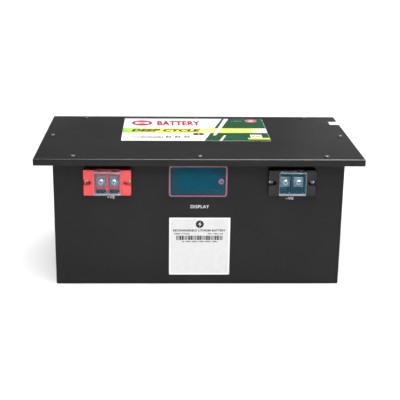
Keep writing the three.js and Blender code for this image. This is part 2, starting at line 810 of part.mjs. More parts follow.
function negativeLead() {
  const x = LOAD_POST.x;
  const y = LOAD_POST.y - LUG_SEAT;
  const z = POST_Z + CABLE_RISE - 0.3;
  const route = [
    [x, y - CABLE_START, z],
    [x + 4, y - 33, z + 1.7],
    [x + 34, y - 77, z + 1.7],
    ...bridgeEnd(NEGATIVE_X, [-6, 4], 10),
  ];
  return join(levelLug(x, y, POST_Z), cable(route, CABLE_R, 20), bridgeLug(NEGATIVE_X));
}

function bmsLead() {
  const x = cellX(CELL_COUNT - 1);
  const y = -CELL_TERMINAL_Y;
  const postX = BATTERY_POST.x + LUG_SEAT;
  const postY = BATTERY_POST.y;
  const route = [
    [x, y + CABLE_START, POLE_TOP + CABLE_RISE],
    [x - 2, y + 32, POLE_TOP + CABLE_RISE + 2],
    [x - 26, y + 78, POST_Z - 4],
    [postX + 35, postY - 2, POST_Z + CABLE_RISE - 0.6],
    [postX + CABLE_START, postY, POST_Z + CABLE_RISE - 0.3],
  ];
  return join(
    levelLug(x, y, POLE_TOP, 180),
    cable(route, CABLE_R, 20),
    levelLug(postX, postY, POST_Z, 90),
  );
}

// Voltage-sense trunk across the cells with a tap beside every link, its rise to the plug,
// and the branch that runs forward to the meter.
function wiringHarness() {
  const y = SENSE_Y;
  const heights = [SENSE_LOW, SENSE_HIGH];
  const ends = [cellX(0) + 10, cellX(CELL_COUNT - 1) - 12];
  const reach = CELL_TERMINAL_Y - LINK_D / 2 - TAP_CLEAR;
  let harness = box(ends, [y - SENSE_HALF_D, y + SENSE_HALF_D], heights);
  for (let index = 0; index + 1 < CELL_COUNT; index++) {
    const x = (cellX(index) + cellX(index + 1)) / 2;
    const run = index % 2 === 0 ? [y, reach] : [-reach, y];
    harness = join(harness, box([x - TAP_HALF_W, x + TAP_HALF_W], run, heights));
  }
  const plugX = BMS_PLUG.x;
  const plugY = BMS_FRONT - BMS_PLUG.out - GAP;
  const plugZ = [BMS_PLUG.z + 0.5, BMS_PLUG.z + BMS_PLUG.h - 0.5];
  const middleZ = (plugZ[0] + plugZ[1]) / 2;
  const riser = [
    [plugX - 9, plugY - 5, middleZ],
    [plugX - 9, plugY - 20, middleZ - 3],
    [plugX - 9, y + 9, SENSE_LOW + 9],
    [plugX - 9, y, SENSE_HIGH + 0.7],
  ];
  const meterBranch = [
    [plugX + 9, plugY - 5, middleZ],
    [plugX + 12, plugY - 30, middleZ + 2],
    [METER_X - 8, -70, METER_Z - 4],
    [METER_X, PANEL_Y - METER_BACK - 0.5, METER_Z],
  ];
  return join(
    harness,
    box([plugX - SENSE_PLUG_HALF_W, plugX + SENSE_PLUG_HALF_W], [plugY - SENSE_PLUG_D, plugY], plugZ),
    cable(riser, RISER_R, 8, 6),
    cable(meterBranch, METER_WIRE_R, 12, 6),
  );
}

// ---- Assembly --------------------------------------------------------------------------

const FINISHES = {
  powderCoat: { color: 0x2f3031, roughness: 0.55, metalness: 0.3 },
  blackScrew: { color: 0x3a3b3d, roughness: 0.4, metalness: 0.8 },
  steel: { color: 0xb9bec4, roughness: 0.3, metalness: 1 },
  redPlastic: { color: 0xe23a34, roughness: 0.4, metalness: 0 },
  blackPlastic: { color: 0x3c3d3f, roughness: 0.45, metalness: 0 },
  clearPlastic: { color: 0x6f9fb4, roughness: 0.1, metalness: 0, transparent: true, opacity: 0.4 },
  platedBar: { color: 0xa9aeb3, roughness: 0.3, metalness: 1 },
  bezel: { color: 0xb8566e, roughness: 0.3, metalness: 0 },
  blueWindow: { color: 0x0b5269, roughness: 0.12, metalness: 0, transparent: true, opacity: 0.55 },
  lcd: { color: 0x1b3c46, roughness: 0.2, metalness: 0 },
  board: { color: 0x1f5a3a, roughness: 0.5, metalness: 0 },
  button: { color: 0xc79ab0, roughness: 0.3, metalness: 0 },
  paper: { color: 0xf2f2f1, roughness: 0.5, metalness: 0 },
  cellWrap: { color: 0x1f5fb0, roughness: 0.35, metalness: 0 },
  aluminium: { color: 0xc9cbcc, roughness: 0.35, metalness: 1 },
  foam: { color: 0x26282a, roughness: 0.95, metalness: 0 },
  galvanised: { color: 0x9fa4a6, roughness: 0.45, metalness: 1 },
  redCable: { color: 0xa81c1c, roughness: 0.5, metalness: 0 },
  blackCable: { color: 0x1c1c1d, roughness: 0.5, metalness: 0 },
};

const battery = new THREE.Group();
battery.name = "deep_cycle_battery";

// Adds one piece to a group as a named mesh at its place.
function add(group, name, body, finish, position = [0, 0, 0], rotation = [0, 0, 0]) {
  const { vertProperties, triVerts } = body.getMesh();
  const geometry = new THREE.BufferGeometry();
  geometry.setAttribute("position", new THREE.BufferAttribute(Float32Array.from(vertProperties), 3));
  geometry.setIndex(new THREE.BufferAttribute(Uint32Array.from(triVerts), 1));
  geometry.computeVertexNormals();
  const material = new THREE.MeshStandardMaterial({ ...FINISHES[finish], flatShading: true });
  const mesh = new THREE.Mesh(geometry, material);
  mesh.name = name;
  mesh.position.set(...position);
  mesh.rotation.set(...rotation);
  group.add(mesh);
}

// A group whose children are drawn about a point on the front panel.
function onPanel(x, z) {
  const group = new THREE.Group();
  group.position.set(x, PANEL_Y, z);
  battery.add(group);
  return group;
}

const FACING_FRONT = [Math.PI / 2, 0, 0]; // turns a standing piece to point out of the panel

add(battery, "case_tub", caseTub(), "powderCoat");
add(battery, "lid", lid(), "powderCoat");
LID_SCREWS.forEach(([x, y], index) => {
  add(battery, `lid_screw_${index + 1}`, lidScrew(), "blackScrew", [x, y, LID_TOP + GAP]);
});

for (const [pole, x, plastic] of [
  ["positive", POSITIVE_X, "redPlastic"],
  ["negative", NEGATIVE_X, "blackPlastic"],
]) {
  const block = onPanel(x, TERMINAL_Z);
  add(block, `${pole}_housing`, terminalHousing(), plastic);
  add(block, `${pole}_busbar`, terminalBusbar(), "platedBar");
  add(block, `${pole}_cover`, terminalCover(), "clearPlastic");
  [-1, 1].forEach((side, index) => {
    const at = (reach, out) => [side * reach, -out, 0];
    const number = index + 1;
    add(block, `${pole}_washer_${number}`, terminalWasher(), "steel", at(POLE_X, 0));
    add(
      block,
      `${pole}_screw_${number}`,
      terminalScrew(),
      "steel",
      at(POLE_X, TERMINAL_HEAD_OUT),
      FACING_FRONT,
    );
    add(
      block,
      `${pole}_mount_screw_${number}`,
      earScrew(),
      "steel",
      at(EAR_SCREW_X, EAR_SEAT + GAP),
      FACING_FRONT,
    );
  });
}

const meter = onPanel(METER_X, METER_Z);
add(meter, "meter_case", meterCase(), "bezel");
add(meter, "meter_window", meterWindow(), "blueWindow");
add(meter, "meter_lcd", meterLcd(), "lcd");
add(meter, "meter_circuit_board", meterBoard(), "board");
add(meter, "meter_button", meterButton(), "button", [BUTTON_X, -BUTTON_BACK, 0], FACING_FRONT);

add(onPanel(FRONT_LABEL.x, FRONT_LABEL.z), "front_label", frontLabel(), "paper");
add(battery, "top_label", topLabel(), "paper", [TOP_LABEL.x, TOP_LABEL.y, LID_TOP]);
add(battery, "seal_label", sealLabel(), "paper", [0, SEAL.y, 0]);

add(battery, "cell_base_pad", cellBasePad(), "foam");
add(battery, "end_pad_left", endPad(-1), "foam");
add(battery, "end_pad_right", endPad(1), "foam");
for (let index = 0; index < CELL_COUNT; index++) {
  add(battery, `cell_${index + 1}`, cell(), "cellWrap", [cellX(index), 0, 0]);
}
// The links alternate between the back and the front poles, so the cells are in series.
for (let index = 0; index + 1 < CELL_COUNT; index++) {
  const x = cellX(index) + CELL_PITCH / 2;
  const y = (index % 2 === 0 ? 1 : -1) * CELL_TERMINAL_Y;
  add(battery, `cell_link_${index + 1}`, cellLink(), "aluminium", [x, y, POLE_TOP + GAP]);
}

add(battery, "bms_bracket", bmsBracket(), "galvanised");
add(battery, "bms", bms(), "aluminium");
add(battery, "positive_lead", positiveLead(), "redCable");
add(battery, "negative_lead", negativeLead(), "blackCable");
add(battery, "bms_lead", bmsLead(), "blackCable");
add(battery, "wiring_harness", wiringHarness(), "blackCable");

export default battery;
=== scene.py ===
"""Deep cycle battery: the looks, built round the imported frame.

Shapes are drawn in millimetres, in the part's own frame (+X to the right as seen from the
terminal face, +Y to the back, +Z up), and scaled to metres when a piece is made.
"""

import json
from math import cos, hypot, pi, radians, sin

import bmesh
import bpy
from mathutils import Matrix, Vector

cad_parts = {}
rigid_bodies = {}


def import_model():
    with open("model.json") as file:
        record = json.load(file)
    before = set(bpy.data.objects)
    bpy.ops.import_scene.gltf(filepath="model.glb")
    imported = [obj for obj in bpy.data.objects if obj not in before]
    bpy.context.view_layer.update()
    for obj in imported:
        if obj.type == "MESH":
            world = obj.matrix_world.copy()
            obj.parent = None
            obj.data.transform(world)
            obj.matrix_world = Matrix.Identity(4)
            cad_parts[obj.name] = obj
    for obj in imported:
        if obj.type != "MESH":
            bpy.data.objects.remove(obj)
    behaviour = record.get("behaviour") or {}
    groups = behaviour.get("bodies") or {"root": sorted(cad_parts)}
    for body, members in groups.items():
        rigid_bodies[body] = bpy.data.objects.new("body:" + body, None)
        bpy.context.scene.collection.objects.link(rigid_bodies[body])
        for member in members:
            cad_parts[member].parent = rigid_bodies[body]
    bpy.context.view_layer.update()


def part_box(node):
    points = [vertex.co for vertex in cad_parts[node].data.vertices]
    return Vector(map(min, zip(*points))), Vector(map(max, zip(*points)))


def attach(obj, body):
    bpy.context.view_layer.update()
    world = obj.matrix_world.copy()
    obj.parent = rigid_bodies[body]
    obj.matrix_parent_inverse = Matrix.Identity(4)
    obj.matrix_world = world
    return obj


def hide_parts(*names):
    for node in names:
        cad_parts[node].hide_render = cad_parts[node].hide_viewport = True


MM = 0.001
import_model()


def span(node):
    """Lowest and highest corner of a CAD node, in millimetres."""
    low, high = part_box(node)
    return low / MM, high / MM


def middle(node):
    low, high = span(node)
    return (low + high) / 2


# ---- Driving dimensions, most of them read from the frame ----

SHEET = 1.2
BEND_R = 2.0
TUB_LOW, TUB_HIGH = span("case_tub")
LID_LOW, LID_HIGH = span("lid")
LID_W = LID_HIGH.x - LID_LOW.x
LID_D = LID_HIGH.y - LID_LOW.y
LID_TOP = LID_HIGH.z
FLANGE_W = TUB_HIGH.x - TUB_LOW.x
FLANGE_D = TUB_HIGH.y - TUB_LOW.y
FLANGE_TOP = TUB_HIGH.z
FLANGE_REACH = 23.5
BODY_W = FLANGE_W - 2 * FLANGE_REACH
BODY_D = FLANGE_D - 2 * FLANGE_REACH
PANEL_Y = -BODY_D / 2
BLOCKS = {pole: middle(f"{pole}_mount_screw_1").lerp(middle(f"{pole}_mount_screw_2"), 0.5)
          for pole in ("positive", "negative")}
METER = middle("meter_window")
POLE_X = 10.0
EAR_X = 31.5

# ---- Shapes ----


def rounded_rect(width, height, radius, cx=0.0, cy=0.0, steps=6):
    """A rectangle with round corners, anticlockwise."""
    points = []
    for sx, sy, start in ((1, -1, -90), (1, 1, 0), (-1, 1, 90), (-1, -1, 180)):
        for i in range(steps + 1):
            angle = radians(start + 90 * i / steps)
            points.append((
                cx + sx * (width / 2 - radius) + radius * cos(angle),
                cy + sy * (height / 2 - radius) + radius * sin(angle),
            ))
    return points


def turns(sides):
    """The angles of one full turn in equal steps."""
    return [2 * pi * i / sides for i in range(sides)]


def circle(radius, cx=0.0, cy=0.0, sides=48):
    return ellipse(radius, radius, cx, cy, sides)


def ellipse(rx, ry, cx=0.0, cy=0.0, sides=64):
    return [(cx + rx * cos(a), cy + ry * sin(a)) for a in turns(sides)]


def rect(x, y):
    return [(x[0], y[0]), (x[1], y[0]), (x[1], y[1]), (x[0], y[1])]


def sided(side, a, b):
    """A range mirrored to the left (-1) or the right (1)."""
    return tuple(sorted((side * a, side * b)))


def mesh_of(verts, faces):
    mesh = bpy.data.meshes.new("shape")
    mesh.from_pydata([tuple(v) for v in verts], [], faces)
    mesh.validate()
    return mesh


def loft(rings):
    """A closed solid through rings of equal count, flat at both ends."""
    count = len(rings[0])
    last = (len(rings) - 1) * count
    faces = []
    for low in range(0, last, count):
        for i in range(count):
            j = (i + 1) % count
            faces.append((low + i, low + j, low + count + j, low + count + i))
    faces.append(tuple(reversed(range(count))))
    faces.append(tuple(range(last, last + count)))
    return mesh_of([point for ring in rings for point in ring], faces)


def prism(outline, low, high):
    """An outline drawn in plan, raised between two heights."""
    return loft([[(x, y, z) for x, y in outline] for z in (low, high)])


TO_FRONT = Matrix.Rotation(radians(90), 4, "X")


def front(outline, near, far):
    """An outline drawn as seen from the front, standing out towards -Y between two distances."""
    mesh = prism(outline, near, far)
    mesh.transform(TO_FRONT)
    return mesh


def brick(x, y, z):
    return prism(rect(x, y), *z)


def front_brick(x, z, out):
    return front(rect(x, z), *out)


def lathe(profile, sides=48):
    """Radius and height pairs, bottom to top, revolved about the vertical axis with flat ends."""
    return loft([[(x, y, z) for x, y in circle(radius, sides=sides)] for radius, z in profile])


def moved(mesh, x=0.0, y=0.0, z=0.0):
    mesh.transform(Matrix.Translation((x, y, z)))
    return mesh


def smooth_path(points, steps=12):
    """A smooth line through the points (Catmull-Rom)."""
    knots = [Vector(p) for p in points]
    knots = [2 * knots[0] - knots[1], *knots, 2 * knots[-1] - knots[-2]]
    line = []
    for a, b, c, d in zip(knots, knots[1:], knots[2:], knots[3:]):
        for i in range(steps):
            t = i / steps
            line.append(0.5 * (2 * b + (c - a) * t + (2 * a - 5 * b + 4 * c - d) * t ** 2
                               + (3 * b - a - 3 * c + d) * t ** 3))
    line.append(knots[-2])
    return line


def tube(line, radius, sides=16):
    """A round tube with flat ends along a line; its rings turn with the line without twisting."""
    rings = []
    side = None
    for i, point in enumerate(line):
        along = (line[min(i + 1, len(line) - 1)] - line[max(i - 1, 0)]).normalized()
        side = side or along.orthogonal()
        side = (side - along * side.dot(along)).normalized()
        up = along.cross(side)
        rings.append([point + radius * (side * cos(a) + up * sin(a)) for a in turns(sides)])
    return loft(rings)


# ---- Joining, cutting and softening ----


def linked(name, data, collection=None):
    """A new object of the scene, or of a collection of its own."""
    obj = bpy.data.objects.new(name, data)
    (collection or bpy.context.scene.collection).objects.link(obj)
    return obj


def evaluated(obj):
    """The object's mesh with its modifiers applied; the object is removed."""
    graph = bpy.context.evaluated_depsgraph_get()
    mesh = bpy.data.meshes.new_from_object(obj.evaluated_get(graph))
    bpy.data.objects.remove(obj)
    return mesh


def combined(mesh, others, operation):
    tools = bpy.data.collections.new("tools")
    bpy.context.scene.collection.children.link(tools)
    for other in others:
        linked("tool", other, tools)
    body = linked("body", mesh)
    modifier = body.modifiers.new("combine", "BOOLEAN")
    modifier.operand_type = "COLLECTION"
    modifier.collection = tools
    modifier.operation = operation
    modifier.solver = "EXACT"
    result = evaluated(body)
    for tool in list(tools.objects):
        bpy.data.objects.remove(tool)
    bpy.data.collections.remove(tools)
    return result


def cut(mesh, *cutters):
    return combined(mesh, cutters, "DIFFERENCE")


def join(mesh, *others):
    return combined(mesh, others, "UNION")


def soften(mesh, width, segments=2, angle=35):
    """Rounds every edge sharper than the angle."""
    body = linked("body", mesh)
    modifier = body.modifiers.new("round", "BEVEL")
    modifier.width = width
    modifier.segments = segments
    modifier.limit_method = "ANGLE"
    modifier.angle_limit = radians(angle)
    return evaluated(body)


def gathered(*meshes):
    """Several separate closed shells as one mesh, each keeping its materials."""
    verts, faces, slots, materials = [], [], [], []
    for mesh in meshes:
        start = len(verts)
        materials += [material for material in mesh.materials if material not in materials]
        verts += [v.co.copy() for v in mesh.vertices]
        for polygon in mesh.polygons:
            faces.append([start + i for i in polygon.vertices])
            slots.append(materials.index(mesh.materials[polygon.material_index]))
    result = mesh_of(verts, faces)
    for material in materials:
        result.materials.append(material)
    for polygon, slot in zip(result.polygons, slots):
        polygon.material_index = slot
    return result


def painted(mesh, material):
    mesh.materials.clear()
    mesh.materials.append(material)
    return mesh


# ---- Pieces ----

SMOOTH_BELOW = 32  # degrees: gentler edges are shaded smooth


def piece(name, mesh, slot, *replaces, body="case", at=(0, 0, 0), turn=None):
    """Adds a drawn mesh to the object: placed in millimetres, riding on a body.

    A mesh that several pieces share is scaled to metres by the first of them.
    """
    if not mesh.users:
        mesh.name = name
        mesh.transform(Matrix.Scale(MM, 4))
        mesh.shade_smooth()
        mesh.set_sharp_from_angle(angle=radians(SMOOTH_BELOW))
    obj = linked(name, mesh)
    place = Matrix.Translation(Vector(at) * MM)
    obj.matrix_world = place @ turn if turn else place
    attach(obj, body)
    if replaces:
        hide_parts(*replaces)
    return obj


# ---- Materials ----


def preset(node, values):
    for socket, value in values.items():
        node.inputs[socket].default_value = value


def principled(name, colour, roughness=0.5, metallic=0.0, specular=0.5, alpha=1.0, coat=0.0):
    """A new material with one Principled shader; returns the material, its tree and the shader."""
    material = bpy.data.materials.new(name)
    material.use_nodes = True
    shader = material.node_tree.nodes["Principled BSDF"]
    preset(shader, {
        "Base Color": (*colour, 1),
        "Roughness": roughness,
        "Metallic": metallic,
        "Specular IOR Level": specular,
        "Alpha": alpha,
        "Coat Weight": coat,
    })
    return material, material.node_tree, shader


def pattern(tree, scale, stretch=(1, 1, 1), detail=3.0, kind="NOISE", warp=0.0):
    """A noise or cell pattern in the piece's own space, with scale features a metre."""
    place = tree.nodes.new("ShaderNodeTexCoord")
    mapping = tree.nodes.new("ShaderNodeMapping")
    mapping.inputs["Scale"].default_value = [scale * s for s in stretch]
    tree.links.new(place.outputs["Object"], mapping.inputs["Vector"])
    if kind in ("CELLS", "FLAKES"):
        texture = tree.nodes.new("ShaderNodeTexVoronoi")
        output = texture.outputs["Distance" if kind == "CELLS" else "Color"]
    else:
        texture = tree.nodes.new("ShaderNodeTexNoise")
        texture.inputs["Detail"].default_value = detail
        texture.inputs["Distortion"].default_value = warp
        output = texture.outputs["Fac"]
    texture.inputs["Scale"].default_value = 1.0
    tree.links.new(mapping.outputs["Vector"], texture.inputs["Vector"])
    return output


def remap(tree, value, low, high, from_low=0.3, from_high=0.7):
    """A value carried from one range to another, kept inside it."""
    node = tree.nodes.new("ShaderNodeMapRange")
    preset(node, {"From Min": from_low, "From Max": from_high, "To Min": low, "To Max": high})
    tree.links.new(value, node.inputs["Value"])
    return node.outputs["Result"]


def vary_colour(tree, shader, value, first, second):
    """The base colour runs from first to second with a value."""
    mix = tree.nodes.new("ShaderNodeMix")
    mix.data_type = "RGBA"
    preset(mix, {"A": (*first, 1), "B": (*second, 1)})
    tree.links.new(remap(tree, value, 0, 1), mix.inputs["Factor"])
    tree.links.new(mix.outputs["Result"], shader.inputs["Base Color"])


def vary_roughness(tree, shader, value, low, high):
    tree.links.new(remap(tree, value, low, high), shader.inputs["Roughness"])


def raise_by(tree, shader, *layers):
    """Bump layers: each is a pattern and its height in millimetres."""
    normal = None
    for value, height in layers:
        node = tree.nodes.new("ShaderNodeBump")
        node.inputs["Distance"].default_value = height * MM
        tree.links.new(value, node.inputs["Height"])
        if normal:
            tree.links.new(normal, node.inputs["Normal"])
        normal = node.outputs["Normal"]
    tree.links.new(normal, shader.inputs["Normal"])


def powder_coat():
    """Black powder coat: orange peel, a fine grain and faint handling marks."""
    material, tree, shader = principled("powder_coat", (0.0135, 0.0135, 0.0135), 0.3, specular=0.09)
    marks = pattern(tree, 14, detail=6)
    vary_colour(tree, shader, marks, (0.0122, 0.0121, 0.012), (0.0152, 0.0151, 0.015))
    vary_roughness(tree, shader, pattern(tree, 30, detail=6), 0.28, 0.35)
    peel = pattern(tree, 650, detail=1)
    grain = pattern(tree, 3200, detail=2)
    raise_by(tree, shader, (peel, 0.012), (grain, 0.003))
    return material


def plated(name, first, second, low, high, scratch=0.0012):
    """Plated steel: patchy brightness and fine scratches."""
    material, tree, shader = principled(name, first, 0.3, metallic=1.0)
    vary_colour(tree, shader, pattern(tree, 320, detail=5), first, second)
    vary_roughness(tree, shader, pattern(tree, 500, (1, 6, 6), detail=6), low, high)
    raise_by(tree, shader, (pattern(tree, 1400, (1, 9, 9), detail=3), scratch))
    return material


def moulded(name, first, second, roughness, grain=0.004, specular=0.5):
    """Moulded plastic: a faint flow in the colour and a fine spark-eroded grain."""
    material, tree, shader = principled(name, first, roughness, specular=specular)
    vary_colour(tree, shader, pattern(tree, 60, detail=4, warp=0.8), first, second)
    vary_roughness(tree, shader, pattern(tree, 240, detail=4), roughness - 0.05, roughness + 0.07)
    raise_by(tree, shader, (pattern(tree, 2600, detail=2), grain))
    return material


def clear_plastic(name, colour, alpha, roughness, specular=0.5):
    """Tinted see-through plastic with a faint ripple."""
    material, tree, shader = principled(name, colour, roughness, alpha=alpha, specular=specular)
    vary_roughness(tree, shader, pattern(tree, 90, detail=3), roughness, roughness + 0.06)
    raise_by(tree, shader, (pattern(tree, 70, detail=1), 0.006))
    return material


def printed(name, first, second, roughness=0.45):
    """Ink or coated paper: a faint fibre and mottling."""
    material, tree, shader = principled(name, first, roughness, specular=0.04)
    vary_colour(tree, shader, pattern(tree, 130, detail=7), first, second)
    vary_roughness(tree, shader, pattern(tree, 40, detail=5), roughness - 0.06, roughness + 0.08)
    raise_by(tree, shader, (pattern(tree, 1500, (1, 2.5, 1), detail=4), 0.0015))
    return material


def band_ink(left, right):
    """The label's printed band: lime to yellow and back along its length, fading to white."""
    material, tree, shader = principled("band_ink", (0.8, 0.8, 0.2), 0.42)
    place = tree.nodes.new("ShaderNodeTexCoord")
    split = tree.nodes.new("ShaderNodeSeparateXYZ")
    tree.links.new(place.outputs["Object"], split.inputs["Vector"])
    along = remap(tree, split.outputs["X"], 0, 1, left * MM, right * MM)
    ramp = tree.nodes.new("ShaderNodeValToRGB")
    stops = [
        (0.0, (0.25, 0.55, 0.02)),
        (0.06, (0.42, 0.66, 0.03)),
        (0.22, (0.82, 0.84, 0.08)),
        (0.45, (0.93, 0.86, 0.12)),
        (0.6, (0.95, 0.85, 0.25)),
        (0.68, (0.93, 0.78, 0.09)),
        (0.78, (0.6, 0.76, 0.08)),
        (0.88, (0.58, 0.76, 0.12)),
        (0.94, (0.88, 0.9, 0.45)),
        (1.0, (0.93, 0.93, 0.9)),
    ]
    while len(ramp.color_ramp.elements) < len(stops):
        ramp.color_ramp.elements.new(0.5)
    for element, (at, colour) in zip(ramp.color_ramp.elements, stops):
        element.position = at
        element.color = (*colour, 1)
    tree.links.new(along, ramp.inputs["Fac"])
    tree.links.new(ramp.outputs["Color"], shader.inputs["Base Color"])
    vary_roughness(tree, shader, pattern(tree, 40, detail=5), 0.36, 0.5)
    return material


def foam_rubber():
    material, tree, shader = principled("foam", (0.03, 0.03, 0.032), 0.95, specular=0.2)
    vary_colour(tree, shader, pattern(tree, 400, kind="CELLS"), (0.018, 0.018, 0.02), (0.05, 0.05, 0.053))
    raise_by(tree, shader, (pattern(tree, 700, kind="CELLS"), 0.25), (pattern(tree, 60), 0.3))
    return material


def shrink_film():
    """The glossy blue film round a cell, with a few slack ripples."""
    material, tree, shader = principled("cell_film", (0.01, 0.09, 0.36), 0.22, coat=0.3)
    vary_colour(tree, shader, pattern(tree, 25, detail=4), (0.008, 0.075, 0.32), (0.014, 0.11, 0.42))
    vary_roughness(tree, shader, pattern(tree, 120, detail=5), 0.16, 0.3)
    raise_by(tree, shader, (pattern(tree, 45, (1, 1, 0.3), detail=2, warp=1.5), 0.06))
    return material


def galvanised():
    """Zinc coat with its spangle."""
    material, tree, shader = principled("zinc_plate", (0.5, 0.52, 0.54), 0.35, metallic=1.0)
    spangle = pattern(tree, 260, kind="FLAKES")
    vary_colour(tree, shader, spangle, (0.47, 0.49, 0.51), (0.55, 0.57, 0.59))
    vary_roughness(tree, shader, spangle, 0.4, 0.44)
    raise_by(tree, shader, (pattern(tree, 900, detail=2), 0.002))
    return material


def rubber(name, first, second):
    material, tree, shader = principled(name, first, 0.42)
    vary_colour(tree, shader, pattern(tree, 80, detail=4), first, second)
    vary_roughness(tree, shader, pattern(tree, 300, detail=4), 0.36, 0.52)
    raise_by(tree, shader, (pattern(tree, 1500, detail=2), 0.006))
    return material


POWDER = powder_coat()
BLACK_STEEL = plated("black_steel", (0.06, 0.06, 0.063), (0.1, 0.1, 0.104), 0.24, 0.36)
BRIGHT_STEEL = plated("bright_steel", (0.42, 0.44, 0.47), (0.54, 0.56, 0.59), 0.34, 0.46, 0.0006)
BLACKENED_STEEL = moulded("blackened_steel", (0.02, 0.02, 0.0205), (0.035, 0.035, 0.0355), 0.5, 0.001, 0.2)
DULL_STEEL = plated("dull_steel", (0.17, 0.18, 0.195), (0.25, 0.26, 0.28), 0.36, 0.5, 0.0006)
TINNED_BAR = plated("tinned_bar", (0.62, 0.62, 0.61), (0.76, 0.76, 0.75), 0.24, 0.4)
RED_PLASTIC = moulded("red_plastic", (0.6, 0.035, 0.036), (0.66, 0.046, 0.046), 0.38)
BLACK_PLASTIC = moulded("black_plastic", (0.008, 0.008, 0.0083), (0.012, 0.012, 0.0123), 0.42, specular=0.2)
COVER_CLEAR = clear_plastic("cover_clear", (0.008, 0.18, 0.3), 0.12, 0.08, 0.08)
# Lighter, more opaque plastic for the cover's rim bands: a painted highlight where the edges catch light
COVER_RIM_HIGHLIGHT = clear_plastic("cover_rim_highlight", (0.34, 0.36, 0.39), 0.62, 0.25)
ROSE = moulded("rose_plastic", (0.263, 0.08, 0.121), (0.277, 0.085, 0.129), 0.32, 0.001)
LILAC = moulded("lilac_plastic", (0.2, 0.13, 0.19), (0.24, 0.155, 0.225), 0.3, 0.002)
PLUM = moulded("plum_plastic", (0.16, 0.03, 0.09), (0.2, 0.045, 0.115), 0.35, 0.002)
BLUE_CLEAR = clear_plastic("blue_window", (0.002, 0.06, 0.1), 0.6, 0.07, 0.08)
MASK_GREY = moulded("mask_grey", (0.27, 0.27, 0.25), (0.31, 0.31, 0.29), 0.5, 0.001)
SCREEN = moulded("screen", (0.001, 0.47, 0.78), (0.002, 0.52, 0.83), 0.35, 0.0005, 0.1)
BOARD_GREEN = moulded("circuit_board", (0.012, 0.13, 0.05), (0.02, 0.17, 0.07), 0.35, 0.002)
CHIP = moulded("chip", (0.012, 0.012, 0.013), (0.02, 0.02, 0.021), 0.5, 0.002)
PAPER = printed("label_paper", (0.93, 0.93, 0.925), (0.96, 0.96, 0.955))
PAPER_GREY = printed("label_field", (0.58, 0.58, 0.58), (0.62, 0.62, 0.62))
# A darker copy of the white label paper, used for the front label: painted shade that offsets the stronger
# light on the front
PAPER_SHADED_FRONT = printed("label_paper_painted_shade", (0.7, 0.7, 0.7), (0.73, 0.73, 0.73))
INK_BLACK = printed("ink_black", (0.02, 0.02, 0.02), (0.035, 0.035, 0.035))
INK_GREY = printed("ink_grey", (0.34, 0.34, 0.34), (0.42, 0.42, 0.42))
INK_RED = printed("ink_red", (0.37, 0.005, 0.026), (0.44, 0.008, 0.033))
INK_PINK = printed("ink_pink", (0.56, 0.14, 0.16), (0.64, 0.19, 0.21))
INK_GREEN = printed("ink_green", (0.01, 0.06, 0.027), (0.016, 0.077, 0.036))
INK_YELLOW = printed("ink_yellow", (0.72, 0.66, 0.06), (0.8, 0.74, 0.1))
INK_WHITE = printed("ink_white", (0.86, 0.86, 0.86), (0.92, 0.92, 0.92))
FOAM = foam_rubber()
CELL_FILM = shrink_film()
ALUMINIUM = plated("aluminium", (0.72, 0.73, 0.74), (0.84, 0.85, 0.86), 0.28, 0.46, 0.002)
ZINC = galvanised()
ANODISED = plated("anodised", (0.035, 0.035, 0.038), (0.055, 0.055, 0.06), 0.38, 0.5)
IVORY = moulded("ivory_plastic", (0.72, 0.68, 0.56), (0.8, 0.76, 0.64), 0.4)
COPPER = plated("copper", (0.72, 0.36, 0.22), (0.86, 0.46, 0.3), 0.25, 0.4)
RED_RUBBER = rubber("red_cable", (0.42, 0.014, 0.012), (0.52, 0.02, 0.018))
BLACK_RUBBER = rubber("black_cable", (0.014, 0.014, 0.015), (0.024, 0.024, 0.025))

# ---- Camera, floor and light ----

FLOOR_REACH = 30.0  # metres
AMBIENT = 0.2  # strength of the light from all round; the backdrop itself shows white
SKY_STRENGTH = 2.9
SKY_SPREAD = 75  # degrees
SKY_TILT = (5, 6)  # degrees about X and Y


def camera():
    """The view of the object: from a little left of the middle, looking down at it."""
    pitch = 0.312754
    yaw = 0.027041
    roll = 0.010098
    ahead = Vector((sin(yaw) * cos(pitch), cos(yaw) * cos(pitch), -sin(pitch)))
    right = Vector((cos(yaw), -sin(yaw), 0))
    up = right.cross(ahead)
    x_axis = cos(roll) * right + sin(roll) * up
    y_axis = -sin(roll) * right + cos(roll) * up
    data = bpy.data.cameras.new("camera")
    data.lens = 84.43
    data.sensor_width = 36
    data.shift_x = 0.03
    data.clip_end = 100
    obj = linked("camera", data)
    obj.matrix_world = Matrix((x_axis, y_axis, -ahead)).transposed().to_4x4()
    obj.location = (-0.05381, -1.49114, 0.58425)
    bpy.context.scene.camera = obj


def floor():
    reach = (-FLOOR_REACH, FLOOR_REACH)
    mesh = mesh_of([(x, y, 0) for x, y in rect(reach, reach)], [(0, 1, 2, 3)])
    material, tree, shader = principled("floor", (0.93, 0.93, 0.93), 0.7, specular=0.2)
    vary_colour(tree, shader, pattern(tree, 3, detail=4), (0.925, 0.925, 0.925), (0.94, 0.94, 0.94))
    linked("floor", painted(mesh, material))


def soft_box(name, place, aim, size, power, gloss_only=False):
    data = bpy.data.lights.new(name, "AREA")
    data.shape = "RECTANGLE"
    data.size, data.size_y = size
    data.energy = power
    obj = linked(name, data)
    obj.location = place
    obj.rotation_mode = "QUATERNION"
    obj.rotation_quaternion = (Vector(aim) - Vector(place)).to_track_quat("-Z", "Y")
    obj.visible_diffuse = not gloss_only
    obj.visible_camera = False


